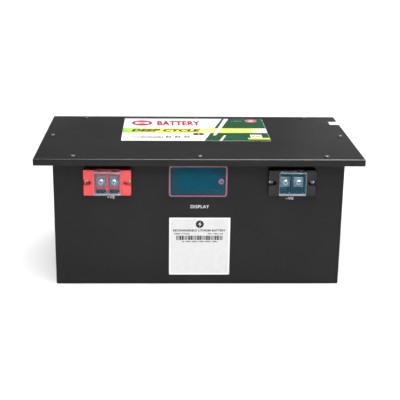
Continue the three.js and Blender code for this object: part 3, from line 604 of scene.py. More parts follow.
def studio():
    """A white backdrop, a broad light from above, a key light and two that only gloss shows."""
    world = bpy.data.worlds.new("studio")
    world.use_nodes = True
    background = world.node_tree.nodes["Background"]
    background.inputs["Color"].default_value = (1.0, 1.0, 1.0, 1)
    seen = world.node_tree.nodes.new("ShaderNodeLightPath").outputs["Is Camera Ray"]
    strength = remap(world.node_tree, seen, AMBIENT, 1.0, 0, 1)
    world.node_tree.links.new(strength, background.inputs["Strength"])
    bpy.context.scene.world = world
    bpy.context.scene.view_settings.view_transform = "Standard"
    data = bpy.data.lights.new("sky", "SUN")
    data.energy = SKY_STRENGTH
    data.angle = radians(SKY_SPREAD)
    linked("sky", data).rotation_euler = (*[radians(tilt) for tilt in SKY_TILT], 0)
    soft_box("key", (-0.4, -2.2, 1.95), (0, 0, 0.1), (0.9, 0.6), 44)
    soft_box("edge", (0.6, -0.5, 1.5), (0.1, -0.14, 0.2), (2.6, 1.5), 540, True)
    soft_box("glow", (1.0, 2.2, 0.8), (0.2, 0.0, 0.2), (1.0, 0.8), 0.55, True)


camera()
floor()
studio()

# ---- Tub and lid ----


def sheet_ring(width, depth, inset, z, radius):
    return [(x, y, z) for x, y in rounded_rect(width - 2 * inset, depth - 2 * inset, max(radius, 0.3))]


def arc(centre, radius, start, end, steps=4):
    """Points (inset, height) along an arc in a wall's section, by angle in degrees."""
    angles = [radians(start + (end - start) * i / steps) for i in range(steps + 1)]
    return [(centre[0] + radius * cos(a), centre[1] + radius * sin(a)) for a in angles]


LID_SCREWS = [middle(f"lid_screw_{i}") for i in range(1, 9)]
FLANGE_BEND = 1.5  # inner radius where the wall turns out into the flange
HEM = 0.15  # rounding at the lid's bare lower edge
TAPPED_R = 2.0  # holes for the lid screws and the ear screws
CLEAR_R = 2.25  # the lid's own holes for its screws
METER_CUTOUT = rounded_rect(86.4, 46.4, 2)
BLOCK_CUTOUT = rounded_rect(44, 27, 1, 0, 4)


def case_shell():
    """The folded tub: floor, walls and the flange turned out at the top, all one sheet."""
    lip = FLANGE_TOP - SHEET
    turn = (-FLANGE_BEND, lip - FLANGE_BEND)
    section = [
        *arc((BEND_R, BEND_R), BEND_R, -90, -180),
        *arc(turn, FLANGE_BEND, 0, 90),
        (-FLANGE_REACH, lip),
        (-FLANGE_REACH, FLANGE_TOP),
        *arc(turn, FLANGE_BEND + SHEET, 90, 0),
        *arc((BEND_R, BEND_R), BEND_R - SHEET, -180, -90),
    ]
    rings = [sheet_ring(BODY_W, BODY_D, inset, z, BEND_R - max(inset, -FLANGE_BEND)) for inset, z in section]
    cutters = [prism(circle(TAPPED_R, s.x, s.y, 24), lip - 1, FLANGE_TOP + 1) for s in LID_SCREWS]
    openings = [(METER_CUTOUT, METER)]
    for block in BLOCKS.values():
        openings.append((BLOCK_CUTOUT, block))
        openings += [(circle(TAPPED_R, side * EAR_X, sides=24), block) for side in (-1, 1)]
    for outline, at in openings:
        cutters.append(moved(front(outline, -SHEET - 1, 1), at.x, PANEL_Y, at.z))
    return cut(loft(rings), *cutters)


def lid_pan():
    """The lid: a shallow folded pan turned over the flange."""
    low = LID_LOW.z
    bend = (BEND_R, LID_TOP - BEND_R)
    outside = [(HEM, low), (0, low + HEM), *arc(bend, BEND_R, 180, 90, 6)]
    inside = [*arc(bend, BEND_R - SHEET, 90, 180, 4), (SHEET, low + HEM), (SHEET - HEM, low)]
    slab = loft([sheet_ring(LID_W, LID_D, inset, z, 1.6 - inset) for inset, z in outside])
    hollow = loft([sheet_ring(LID_W, LID_D, inset, z, 1.0) for inset, z in [*inside, (SHEET, low - 1)]])
    holes = [prism(circle(CLEAR_R, s.x, s.y, 24), LID_TOP - 3, LID_TOP + 1) for s in LID_SCREWS]
    return cut(slab, hollow, *holes)


piece("case_shell", painted(case_shell(), POWDER), "powder_coat", "case_tub")
piece("lid_pan", painted(lid_pan(), POWDER), "powder_coat", "lid", body="lid")

# ---- Screws ----

LID_SCREW = {"head_r": 4.0, "shank_r": 1.7, "root_r": 1.35, "pitch": 0.7, "recess": 4.4}
TERMINAL_SCREW = {"head_r": 4.5, "head_h": 3.5, "shank_r": 2.5, "root_r": 2.05, "pitch": 0.8, "recess": 5.6}
EAR_SCREW = {"head_r": 3.3, "head_h": 2.4, "shank_r": 1.6, "root_r": 1.25, "pitch": 0.7, "recess": 3.9}
CORNER_SCREW = {"head_r": 2.0, "head_h": 1.4, "shank_r": 1.2, "root_r": 0.95, "pitch": 0.5, "recess": 2.4}
PLAIN = 0.6  # the smooth length under a screw's head
POINT = 0.35  # the tapered end of a screw
BRIM = 0.38  # the share of a head's height below its dome


def cross_recess(width, depth, top):
    """A cross-shaped cutter that narrows with depth."""
    arm, slot = width / 2, width / 9

    def outline(share, z):
        a, s = arm * share, slot * (0.6 + 0.4 * share)
        corners = [(a, -s), (a, s), (s, s), (s, a), (-s, a), (-s, s),
                   (-a, s), (-a, -s), (-s, -s), (-s, -a), (s, -a), (s, -s)]
        return [(x, y, z) for x, y in corners]

    return loft([outline(0.45, top - depth), outline(0.95, top), outline(0.95, top + 1)])


def screw(head_r, head_h, shank_r, root_r, pitch, recess, length):
    """A pan-head screw with a cut thread: head up from height 0, shank down, one solid."""
    rings = []

    def ring(z, radius_at):
        rings.append([(radius_at(a) * cos(a), radius_at(a) * sin(a), z) for a in turns(48)])

    def thread(z):
        def radius_at(angle):
            phase = (z / pitch - angle / (2 * pi)) % 1
            ridge = min(1.0, 1.3 * (1 - abs(2 * phase - 1)))
            fade = max(0.0, min(1.0, (z + length) / pitch, (-PLAIN - z) / (0.5 * pitch)))
            return root_r + (shank_r - root_r) * ridge * fade
        return radius_at

    ring(-length, lambda a: root_r * 0.75)
    steps = max(8, int((length - PLAIN) / pitch * 8))
    for i in range(steps + 1):
        z = -length + POINT + (length - POINT - PLAIN) * i / steps
        ring(z, thread(z))
    ring(-0.15, lambda a: root_r)
    head = [(root_r, 0.0), (head_r * 0.97, 0.0), (head_r, head_h * 0.08), (head_r, head_h * BRIM)]
    for i in range(1, 9):
        angle = radians(90 * i / 8)
        head.append((head_r * (0.3 + 0.7 * cos(angle)), head_h * (BRIM + (1 - BRIM) * sin(angle))))
    for radius, z in head:
        ring(z, lambda a, r=radius: r)
    return cut(loft(rings), cross_recess(recess, head_h * 0.62, head_h))


def lid_screws():
    low, high = span("lid_screw_1")
    seat = LID_TOP + 0.05
    mesh = painted(screw(**LID_SCREW, head_h=high.z - seat, length=seat - low.z), BLACKENED_STEEL)
    for i, at in enumerate(LID_SCREWS, 1):
        piece(f"lid_screw_{i}_steel", mesh, "black_screw", f"lid_screw_{i}", body="lid",
              at=(at.x, at.y, seat), turn=Matrix.Rotation(radians(37 * i), 4, "Z"))


lid_screws()

# ---- Terminal blocks ----


def on_front(name, mesh, slot, node, at, body="case", out=0.0, spin=0.0):
    """A piece drawn upright about its axis, turned so that its top points out of the panel."""
    turn = TO_FRONT @ Matrix.Rotation(radians(spin), 4, "Z")
    piece(name, mesh, slot, node, body=body, at=(at.x, PANEL_Y - out, at.z), turn=turn)


def ear_notch(side):
    upper = [(24, 0), (24.4, 1.6), (25.4, 2.9), (27, 3.7), (33, 3.7), (37, 6)]
    outline = [*upper, *[(x, -z) for x, z in reversed(upper[1:])]]
    return anticlockwise([(side * x, z) for x, z in outline])


def anticlockwise(points):
    area = sum(a[0] * b[1] - b[0] * a[1] for a, b in zip(points, points[1:] + points[:1]))
    return points if area > 0 else points[::-1]


BLOCK_OUT = 14  # how far a terminal block stands out of the panel
PAST = BLOCK_OUT + 2  # where a cutter ends, clear of the block's face
POCKET_FLOOR = 4.8
BORE_R = 2.9  # clearance for a terminal screw
PLATE_BORE_R = 2.8  # the same in a plate or a bar
BRIDGE_BACK = -15  # the rear face of a busbar's bridge, measured out of the panel


def housing_mesh(material):
    """The moulded block: two pockets with cable entries, a divider, top rail and notched ears."""
    block = soften(front(rounded_rect(72, 40, 1.2), 0.05, BLOCK_OUT), 0.5, 3)
    boss = front(rounded_rect(43, 26, 1, 0, 4), -9, 0.1)
    cutters = [
        front_brick((-19, 19), (14.9, 21), (8, PAST)),
        front_brick((-2, 2), (-21, 15.5), (BLOCK_OUT - 0.5, PAST)),
        front_brick((-19, 19), (-21, -15.5), (POCKET_FLOOR, PAST)),
    ]
    for side in (-1, 1):
        cutters += [
            front(rounded_rect(17.3, 36, 1.2, side * 10.35, -3), POCKET_FLOOR, PAST),
            front_brick(sided(side, 2.5, 18), (-21, -13), (-1, PAST)),
            front_brick(sided(side, 4.7, 15.3), (3.9, 7.5), (-10, PAST)),
            front_brick(sided(side, 7.5, 12.5), (16.3, 18.4), (3, PAST)),
            front(circle(BORE_R, side * POLE_X, sides=32), -6, PAST),
            front(circle(TAPPED_R, side * EAR_X, sides=32), -1, PAST),
            front(ear_notch(side), 4, PAST),
        ]
    return painted(soften(cut(join(block, boss), *cutters), 0.3, 2, 40), material)


def busbar_mesh():
    bar = front_brick((-16, 16), (1, 15), (BRIDGE_BACK, BRIDGE_BACK + 3))
    parts = []
    for side in (-1, 1):
        parts.append(front_brick(sided(side, 5, 15), (4.2, 7.2), (-14, 5.95)))
        parts.append(front(rounded_rect(14.8, 15.2, 0.8, side * POLE_X), 4.85, 6))
    bores = [front(circle(PLATE_BORE_R, side * POLE_X, sides=32), 0, 8) for side in (-1, 1)]
    bores.append(front(circle(3.2, 0, 8, 32), BRIDGE_BACK - 1, BRIDGE_BACK + 4))
    return painted(soften(cut(join(bar, *parts), *bores), 0.25, 2, 40), TINNED_BAR)


def washer_mesh():
    """A square clamping plate, ribbed on the side that grips the lug."""
    plate = prism(rounded_rect(14.5, 14.5, 1.0), 0, 1.2)
    bore = prism(circle(PLATE_BORE_R, sides=40), -1, 3)
    ribs = [brick((-8, 8), (y - 0.35, y + 0.35), (-1, 0.25)) for y in (-6, -4.6, 4.6, 6)]
    return painted(soften(cut(plate, bore, *ribs), 0.18, 2, 40), DULL_STEEL)


def sliced(mesh, *heights):
    """Edges drawn across the polygons at some heights, so that bands can be painted apart."""
    work = bmesh.new()
    work.from_mesh(mesh)
    for z in heights:
        everything = [*work.verts, *work.edges, *work.faces]
        bmesh.ops.bisect_plane(work, geom=everything, plane_co=(0, 0, z), plane_no=(0, 0, 1))
    work.to_mesh(mesh)
    work.free()
    return mesh


def repaint(mesh, material, rule):
    """Polygons that meet the rule take a second material."""
    mesh.materials.append(material)
    for polygon in mesh.polygons:
        if rule(polygon.center, polygon.normal):
            polygon.material_index = len(mesh.materials) - 1
    return mesh


RECESS_SHADE_REACH = 0.2  # painted shade in a screw's cross recess reaches this far past it


def plated_screw(length, sizes):
    """A bright screw whose cross recess is painted dark: painted shade in the recess."""
    head_h = sizes["head_h"]
    reach = sizes["recess"] / 2 + RECESS_SHADE_REACH

    def in_recess_shade(at, way):
        radius = hypot(at.x, at.y)
        return radius < reach and at.z > 0.3 * head_h and (way.z < 0.6 or at.z < 0.7 * head_h)

    # The recess takes the dark steel: painted shade where the recess lies in shadow
    return repaint(painted(screw(**sizes, length=length), BRIGHT_STEEL), BLACK_STEEL, in_recess_shade)


def cover_mesh():
    """The clear snap cover: a face plate with two flanges, cable notches and two tongues; its rim bands
    carry a painted highlight.
    """
    plate = soften(front(rounded_rect(41, 36.5, 1.5), 18.5, 20), 0.45, 3)
    flanges = [
        front_brick((-18.7, 18.7), (16.6, 18.1), (8.4, 18.7)),
        front_brick((-18.7, 18.7), (-18.1, -16.6), (6.6, 18.7)),
    ]
    notches = [front(rounded_rect(12, 12, 1.2, side * POLE_X, -17), 0, 14.5) for side in (-1, 1)]
    tongues = [front_brick(sided(side, 8, 12), (16.6, 18.1), (3.6, 8.6)) for side in (-1, 1)]
    shell = join(cut(join(plate, *flanges), *notches), *tongues)
    low, high, side = -15.2, 16.7, 19.8
    shell = painted(sliced(soften(shell, 0.22, 2, 40), low, high), COVER_CLEAR)
    # The bands above, below and beside the face take the lighter plastic: a painted highlight along the
    # cover's edges
    return repaint(shell, COVER_RIM_HIGHLIGHT, lambda at, way: at.z < low or at.z > high or abs(at.x) > side)


def proud(node):
    """How far a node stands out of the panel, and its whole length."""
    low, high = span(node)
    return PANEL_Y - low.y, high.y - low.y


def terminals():
    head_h = TERMINAL_SCREW["head_h"]
    head_top, length = proud("positive_screw_1")
    steel = plated_screw(length - head_h, TERMINAL_SCREW)
    ear_head_h = EAR_SCREW["head_h"]
    ear_top, ear_length = proud("positive_mount_screw_1")
    ear = plated_screw(ear_length - ear_head_h, EAR_SCREW)
    plate = washer_mesh()
    plate_back = PANEL_Y - span("positive_washer_1")[1].y
    cover = cover_mesh()
    bar = busbar_mesh()
    plastics = {"positive": (RED_PLASTIC, "red_plastic"), "negative": (BLACK_PLASTIC, "black_plastic")}
    for pole, at in BLOCKS.items():
        plastic, slot = plastics[pole]
        spot = (at.x, PANEL_Y, at.z)
        piece(f"{pole}_block", housing_mesh(plastic), slot, f"{pole}_housing", at=spot)
        piece(f"{pole}_bar", bar, "plated_busbar", f"{pole}_busbar", at=spot)
        piece(f"{pole}_snap_cover", cover, "clear_cover", f"{pole}_cover", body=f"{pole}_cover", at=spot)
        for i, side in ((1, -1), (2, 1)):
            pole_at = at + Vector((side * POLE_X, 0, 0))
            ear_at = at + Vector((side * EAR_X, 0, 0))
            spin = 25 + 62 * i + (40 if pole == "negative" else 0)
            washer, head, ear_head = (f"{pole}_{part}_{i}" for part in ("washer", "screw", "mount_screw"))
            on_front(f"{pole}_clamp_{i}", plate, "plated_steel", washer, pole_at, washer, plate_back)
            on_front(f"{head}_steel", steel, "plated_steel", head, pole_at, head, head_top - head_h, spin)
            on_front(f"{pole}_ear_screw_{i}", ear, "plated_steel", ear_head, ear_at,
                     out=ear_top - ear_head_h, spin=spin / 2)


terminals()

# ---- Panel meter ----

BUTTON_X = 35.4  # from the meter's middle
CHIP_SEAT = -6.42  # just behind the circuit board


def meter_body():
    """The meter's rim and the box behind it, with vents and snap wedges at the sides."""
    rim = soften(front(rounded_rect(89.6, 49.6, 4.5, steps=10), 0.05, 3.2), 0.9, 4)
    box = front(rounded_rect(85, 45, 2), -22, 0.1)
    cutters = [
        front(rounded_rect(85.2, 45.2, 3, steps=8), 1.6, 5),
        front(rounded_rect(82, 42, 1), -20.5, 3),
        front_brick((-6, 6), (-3, 3), (-24, -19)),
        *[front_brick((x - 1.2, x + 1.2), (14, 17), (-24, -19)) for x in range(-30, 31, 6)],
    ]
    parts = []
    for side in (-1, 1):
        for up in (-1, 1):
            parts.append(front_brick(sided(side, 36, 41.05), sided(up, 16, 21.05), (-20.55, -6.45)))
        wedge = [(side * 42.4, -9), (side * 44.2, -2.4), (side * 42.4, -2.0)]
        parts.append(loft([[(x, -out, z) for x, out in anticlockwise(wedge)] for z in (-6, 6)]))
    return painted(soften(join(cut(join(rim, box), *cutters), *parts), 0.2, 2, 40), ROSE)


def window_mesh():
    """The clear blue face with its hole for the button."""
    window = front(rounded_rect(84.8, 44.8, 2.8, steps=8), 1.65, 3.0)
    hole = front(circle(4.6, BUTTON_X), 0, 5)
    return painted(soften(cut(window, hole), 0.35, 3, 40), BLUE_CLEAR)


def display_mask():
    """A plain frame round the display, behind the clear face."""
    plate = front(rounded_rect(81.8, 41.8, 1), 0.9, 1.25)
    holes = [front_brick((-29.8, 29.8), (-14.9, 20.4), (0, 3)), front(circle(4.75, BUTTON_X), 0, 3)]
    return painted(cut(plate, *holes), MASK_GREY)


def display_glass():
    base = painted(soften(front_brick((-30, 30), (-15, 20.5), (-4.75, 0.5)), 0.3), CHIP)
    glass = painted(soften(front_brick((-29.9, 29.9), (-14.9, 20.4), (0.52, 0.85)), 0.08), SCREEN)
    return gathered(base, glass, display_mask())


def board_mesh():
    """The board with its chips, pins and the push switch under the button."""
    board = painted(front_brick((-40.5, 40.5), (-20.5, 20.5), (-6.4, -4.8)), BOARD_GREEN)
    chips = [
        front_brick((-12, 4), (-6, 4), (-8.6, CHIP_SEAT)),
        front_brick((12, 20), (4, 10), (-8.0, CHIP_SEAT)),
        front_brick((12, 20), (-12, -6), (-8.0, CHIP_SEAT)),
        front_brick((33, 37.8), (-3, 3), (-4.78, -4.1)),
    ]
    pins = [front_brick((x - 0.3, x + 0.3), (z, z + 1.6), (-7.0, CHIP_SEAT))
            for x in range(-11, 4, 2) for z in (-8.2, 4.6)]
    passives = [front_brick((x, x + 2), (-15, -13.8), (-7.1, CHIP_SEAT)) for x in range(-30, 30, 5)]
    cap = front(circle(1.7, BUTTON_X, sides=24), -4.12, -3.5)
    return gathered(
        board,
        *[painted(chip, CHIP) for chip in chips],
        *[painted(pin, BRIGHT_STEEL) for pin in pins],
        *[painted(part, IVORY) for part in passives],
        painted(cap, CHIP),
    )


def button_mesh():
    """The ring button: a pale ring round a dark dish, on a stem."""
    body = [(2.58, 0), (2.58, 1.9), (2.7, 2), (4.15, 2), (4.3, 2.15), (4.3, 5.8)]
    ring = [(4.3 - 0.75 * (1 - cos(a)), 5.8 + 0.7 * sin(a))
            for a in (radians(d) for d in range(15, 91, 15))]
    dish = [(2.75, 6.5), (2.55, 6.42), (2.35, 6.1), (2.1, 5.75), (1.6, 5.62), (0.9, 5.58)]
    mesh = painted(lathe([*body, *ring, *dish], 64), LILAC)
    return repaint(mesh, PLUM, lambda at, way: at.z > 5 and hypot(at.x, at.y) < 2.6)


def meter():
    spot = (METER.x, PANEL_Y, METER.z)
    piece("meter_rim", meter_body(), "rose_bezel", "meter_case", at=spot)
    piece("meter_face", window_mesh(), "blue_window", "meter_window", at=spot)
    piece("meter_display", display_glass(), "lcd_module", "meter_lcd", at=spot)
    piece("meter_board", board_mesh(), "circuit_board", "meter_circuit_board", at=spot)
    button = "meter_button"
    back = PANEL_Y - span(button)[1].y
    on_front("meter_push_button", button_mesh(), "rose_button", button, middle(button), button, back)


meter()

# ---- Labels and printing ----

INK = 0.02
LABEL_T = 0.15
UNDER_LABEL = 0.03  # the glue under a label
UNDER_PRINT = 0.005  # the gap under print that lies straight on the panel


def layer(level):
    """Bottom and top of a print: level 1 lies on the paper, higher levels on the one below."""
    base = LABEL_T + INK * (level - 1)
    return base, base + INK


def lettering(words, x, y, material, level=1, shear=0.0, weight=0.0):
    """Words as a thin raised print that fills a box given by its ranges."""
    curve = bpy.data.curves.new("lettering", "FONT")
    curve.body = words
    curve.shear = shear
    curve.offset = weight
    curve.space_character = 1.1
    curve.extrude = 0.5
    curve.resolution_u = 5
    mesh = evaluated(linked("lettering", curve))
    bpy.data.curves.remove(curve)
    for k, (start, end) in enumerate((x, y, layer(level))):
        low = min(v.co[k] for v in mesh.vertices)
        high = max(v.co[k] for v in mesh.vertices)
        for v in mesh.vertices:
            v.co[k] = start + (v.co[k] - low) / (high - low) * (end - start)
    work = bmesh.new()
    work.from_mesh(mesh)
    bmesh.ops.remove_doubles(work, verts=work.verts, dist=0.0005)
    work.to_mesh(mesh)
    work.free()
    return painted(mesh, material)


def ink(outline, material, level=1):
    """A flat print."""
    return painted(prism(anticlockwise(outline), *layer(level)), material)


def dashes(x, y, material, level=1, seed=0):
    """A line of small print too fine to read: short bars in groups like words."""
    marks = []
    at, end = x
    step = seed
    while at < end:
        step += 1
        width = 0.9 + (step * 7 % 4) * 0.28
        if step % 6:
            drop = (y[1] - y[0]) * (0.28 if step * 5 % 3 else 0.0)
            marks.append(ink(rect((at, min(at + width, end)), (y[0], y[1] - drop)), material, level))
        at += width + 0.42
    return marks


def paper(width, height, radius, material):
    return painted(soften(prism(rounded_rect(width, height, radius), 0, LABEL_T), 0.04, 1), material)


def bolt_mark(cx, cy, size, material, level):
    """A plain lightning bolt."""
    shape = [(-0.1, -1), (0.62, 0.18), (0.1, 0.18), (0.3, 1), (-0.55, -0.12), (0.0, -0.12)]
    return ink([(cx + size * x, cy + size * y) for x, y in shape], material, level)


def battery_mark(cx, cy, size, body, gap, level):
    """A plain battery sign: case, two posts, a minus and a plus."""
    post = 0.62 * size

    def bar(x, reach, low, high, material, up):
        across = (x - reach * size, x + reach * size)
        return ink(rect(across, (cy + low * size, cy + high * size)), material, level + up)

    marks = [ink(rounded_rect(2.2 * size, 1.3 * size, 0.15 * size, cx, cy), body, level)]
    for x in (cx - post, cx + post):
        marks.append(bar(x, 0.22, 0.66, 0.9, body, 0))
        marks.append(bar(x, 0.26, -0.06, 0.1, gap, 1))
    return [*marks, bar(cx + post, 0.08, -0.24, 0.28, gap, 2)]


def bar_code(at, low, high):
    """Made-up bars in groups of narrow and wide ones, between two heights."""
    bars = []
    x = 11.0
    step = 0
    unit = 0.42
    while x < 84:
        step += 1
        width = unit * (1 + (step * step * 5 + step) % 4) * (1.8 if step // 4 % 2 else 0.8)
        bars.append(ink(rect(*at(x, x + width, low, high)), INK_BLACK, 2))
        x += width + unit * (1 + step * step * 3 % 4 // 2)
    return bars


def front_label_print():
    """White sheet with a grey field: round emblem, lines of small print and a bar code."""
    side = 95
    half = side / 2
    emblem = (0, half - 10.7)

    def at(x0, x1, y0, y1):
        return (x0 - half, x1 - half), (half - y1, half - y0)

    return gathered(
        # The white sheet uses the darker paper copy: painted shade against the front light
        paper(side, side, 1.2, PAPER_SHADED_FRONT),
        ink(rounded_rect(89.8, 89.8, 0.8), PAPER_GREY),
        ink(circle(6.2, *emblem), INK_BLACK, 2),
        bolt_mark(*emblem, 4.6, PAPER_GREY, 3),
        lettering("RECHARGEABLE LITHIUM BATTERY", *at(6, 88, 19.2, 22.7), INK_BLACK, 2, weight=0.045),
        lettering("DEEP CYCLE", *at(8, 32, 25.4, 27.6), INK_BLACK, 2, weight=0.045),
        *dashes(*at(60, 84, 25.4, 27.4), INK_BLACK, 2, 1),
        *dashes(*at(20, 76, 38.2, 40.4), INK_BLACK, 2, 3),
        *bar_code(at, 29.6, 36.8),
    )


def top_label_print():
    """The lid's label: emblem and large letters on white, a yellow band, and a green field."""
    width, depth = 240.5, 156

    def spot(u, v):
        return (u - width / 2, v - depth / 2)

    def at(u0, u1, v0, v1):
        return tuple(zip(spot(u0, v0), spot(u1, v1)))

    def area(*corners):
        return [spot(u, v) for u, v in corners]

    squares = []
    for u in (76, 91, 106):
        squares.append(ink(rounded_rect(9, 10, 2, *spot(u, 25)), INK_BLACK))
        squares.append(ink(rounded_rect(3.6, 3.4, 0.8, *spot(u + 0.6, 25)), INK_WHITE, 2))
    badge = spot(31, 122.8)
    return gathered(
        paper(width, depth, 1.5, PAPER),
        ink(area((134, 0.4), (240.1, 0.4), (240.1, 155.6), (170, 155.6)), INK_GREEN),
        ink(rect(*at(0.3, 240.2, 53, 85)), BAND, 2),
        ink(rect(*at(0.3, 118, 47, 53)), BAND_PALE, 2),
        ink(area((174, 155.6), (182, 155.6), (154, 36), (149, 36)), INK_WHITE, 3),
        ink(area((167, 36), (171, 36), (162, 0.4), (157.5, 0.4)), INK_WHITE, 3),
        ink(ellipse(18, 20, *badge), INK_PINK),
        ink(ellipse(16.2, 17.4, *badge), INK_RED, 2),
        ink(rounded_rect(24, 13, 3, *badge), INK_WHITE, 3),
        *battery_mark(*spot(31, 121.6), 4.6, INK_RED, INK_WHITE, 4),
        lettering("BATTERY", *at(57, 131, 105, 138), INK_RED, weight=0.05),
        *dashes(*at(112, 136, 97, 100), INK_GREY, 1, 2),
        lettering("DEEP CYCLE", *at(14, 130, 60, 79), INK_BLACK, 3, 0.3, 0.06),
        lettering("LITHIUM", *at(9, 29, 18, 27), INK_BLACK, weight=0.03),
        lettering("RECHARGEABLE", *at(31, 68, 16, 31), INK_BLACK, weight=0.03),
        *squares,
        ink(ellipse(9.5, 8.5, *spot(125.5, 44)), INK_BLACK, 3),
        bolt_mark(*spot(125.5, 44), 6.5, INK_YELLOW, 4),
        ink(ellipse(10.5, 12, *spot(220, 140)), INK_PINK, 3),
        *battery_mark(*spot(220, 139), 3.6, INK_WHITE, INK_RED, 4),
        *dashes(*at(186, 204, 136, 140), INK_GREY, 3, 4),
        ink(rect(*at(205, 240.1, 10, 20)), INK_YELLOW, 3),
        ink(rect(*at(210, 229, 21, 41)), INK_WHITE, 3),
        *dashes(*at(212, 227, 25, 37), INK_GREY, 4, 2),
    )


def seal_mesh():
    """The strip folded over the lid's right edge."""
    low, high = span("seal_label")
    edge = LID_W / 2
    half = (high.y - low.y) / 2

    def line(off):
        reach = BEND_R + off
        bend = [(edge - BEND_R + reach * sin(a), LID_TOP - BEND_R + reach * cos(a))
                for a in (radians(10 * i) for i in range(10))]
        return [(low.x, LID_TOP + off), *bend, (edge + off, low.z)]

    section = [*line(high.z - LID_TOP), *reversed(line(UNDER_LABEL))]
    return painted(loft([[(x, y, z) for x, z in section] for y in (-half, half)]), PAPER)


BAND = band_ink(-120, 120)
BAND_PALE = printed("ink_pale", (0.93, 0.93, 0.5), (0.95, 0.95, 0.6))


def labels():
    at = middle("front_label")
    sheet = front_label_print()
    sheet.transform(TO_FRONT)
    piece("front_label_sheet", sheet, "label_stock", "front_label", at=(at.x, PANEL_Y - UNDER_LABEL, at.z))
    at = middle("top_label")
    piece("top_label_sheet", top_label_print(), "label_stock", "top_label", body="lid",
          at=(at.x, at.y, LID_TOP + UNDER_LABEL))
    at = middle("seal_label")
    piece("seal_strip", seal_mesh(), "label_stock", "seal_label", body="lid", at=(0, at.y, 0))


labels()


def panel_print():
    """The words painted on the panel beside the meter and the terminals."""
    marks = {
        "print_display": ("DISPLAY", (-12.3, 15.9), (126.4, 131.6)),
        "print_positive": ("+VE", (-141, -129.6), (141.9, 146.1)),
        "print_negative": ("–VE", (133.7, 146.2), (140.6, 144.8)),
    }
    for name, (words, x, z) in marks.items():
        mesh = moved(lettering(words, x, z, INK_WHITE), z=UNDER_PRINT - LABEL_T)
        mesh.transform(TO_FRONT)
        piece(name, mesh, "label_stock", at=(0, PANEL_Y, 0))


panel_print()

# ---- Cells, links and foam ----

POLE_TOP = span("cell_link_1")[0].z - 0.05
POLE_Y = 57.0  # a cell's poles lie this far in front of and behind its middle
CELL_POSITIONS = [middle(f"cell_{i}") for i in range(1, 9)]


def cell_mesh():
    """One cell: shrink film, an aluminium top, two gasketed poles and a safety vent."""
    low = span("cell_1")[0].z
    top = POLE_TOP
    body = top - 2
    film = soften(prism(rounded_rect(50, 160, 3), low, body - 0.1), 0.6, 3, 60)
    cap = soften(prism(rounded_rect(46, 156, 2.4), body - 0.08, body + 0.12), 0.08, 1, 60)
    parts = [painted(film, CELL_FILM), painted(cap, ALUMINIUM)]
    for y in (-POLE_Y, POLE_Y):
        gasket = lathe([(10.6, body + 0.14), (10.6, body + 0.6), (10.2, body + 0.9), (8.7, body + 0.9)])
        pole = lathe([(8.5, body + 0.92), (8.5, top - 0.3), (8.2, top), (3.2, top), (2.9, top - 0.5)])
        parts.append(painted(moved(gasket, y=y), CHIP))
        parts.append(painted(moved(pole, y=y), ALUMINIUM))
    vent_rim = soften(prism(ellipse(9, 7, sides=40), body + 0.14, body + 0.32), 0.07, 1)
    vent_film = prism(ellipse(7.6, 5.6, sides=40), body + 0.34, body + 0.4)
    plug = moved(lathe([(2.4, body + 0.14), (2.2, body + 0.5)], 24), y=26)
    return gathered(*parts, painted(vent_rim, ALUMINIUM), painted(vent_film, IVORY), painted(plug, CHIP))


def link_mesh():
    """An arched aluminium link with two weld rings at each end."""
    low = span("cell_link_1")[0].z
    rise, thick = 2.2, 2
    arch = [(x, rise * 0.5 * (1 + cos(pi * x / 8))) for x in range(-8, 9)]
    line = [(-33.5, 0.0), *arch, (33.5, 0.0)]
    section = [*line, *[(x, z + thick) for x, z in reversed(line)]]
    strap = loft([[(x, y, low + z) for x, z in section] for y in (9, -9)])
    ends = (-25.5, 25.5)
    bores = [prism(circle(2.6, x, sides=24), low - 1, low + 4) for x in ends]
    parts = [soften(cut(strap, *bores), 0.3, 2, 50)]
    for x in ends:
        for radius, base in ((6.6, low + 2.02), (4.6, low + 2.07)):
            profile = [(radius, base), (radius - 0.2, base + 0.2), (radius - 0.75, base + 0.22),
                       (radius - 0.95, base + 0.03)]
            parts.append(moved(lathe(profile, 40), x))
    return gathered(*[painted(part, ALUMINIUM) for part in parts])


def cells():
    cell = cell_mesh()
    for i, at in enumerate(CELL_POSITIONS, 1):
        piece(f"cell_{i}_can", cell, "cell_can", f"cell_{i}", at=(at.x, 0, 0))
    link = link_mesh()
    for i in range(1, 8):
        node = f"cell_link_{i}"
        at = middle(node)
        piece(f"{node}_strap", link, "link_aluminium", node, at=(at.x, at.y, 0))


def foam_pad(node):
    low, high = span(node)
    mesh = soften(brick(*zip(low, high)), 0.5, 3)
    pad = piece(f"{node}_foam", painted(mesh, FOAM), "foam", node)


cells()
for pad_node in ("cell_base_pad", "end_pad_left", "end_pad_right"):
    foam_pad(pad_node)

# ---- Battery management unit, its shelf and the wiring ----


def bracket_mesh():
    """The folded shelf: an upright at the back, gussets at the sides and slots for ties."""
    low, high = span("bms_bracket")
    sheet = 1.5
    x = (low.x, high.x)
    shelf = brick(x, (low.y, high.y), (low.z, low.z + sheet))
    others = [brick(x, (high.y - sheet, high.y), (low.z, high.z))]
    wall = [(high.y - 60, low.z), (high.y, low.z), (high.y, low.z + 22), (high.y - 40, low.z + 22)]
    for left, right in ((low.x, low.x + sheet), (high.x - sheet, high.x)):
        others.append(loft([[(x, y, z) for y, z in wall] for x in (right, left)]))
    holes = [prism(rounded_rect(14, 4, 2, cx, cy), low.z - 1, low.z + 3)
             for cx in (-82, 82) for cy in (low.y + 12, low.y + 36)]
    return painted(soften(cut(join(shelf, *others), *holes), 0.3, 2, 50), ZINC)


LUG_T = 1.6
BARREL_Z = 4.6  # the middle of a lug's barrel and of its cable, above the lug's underside


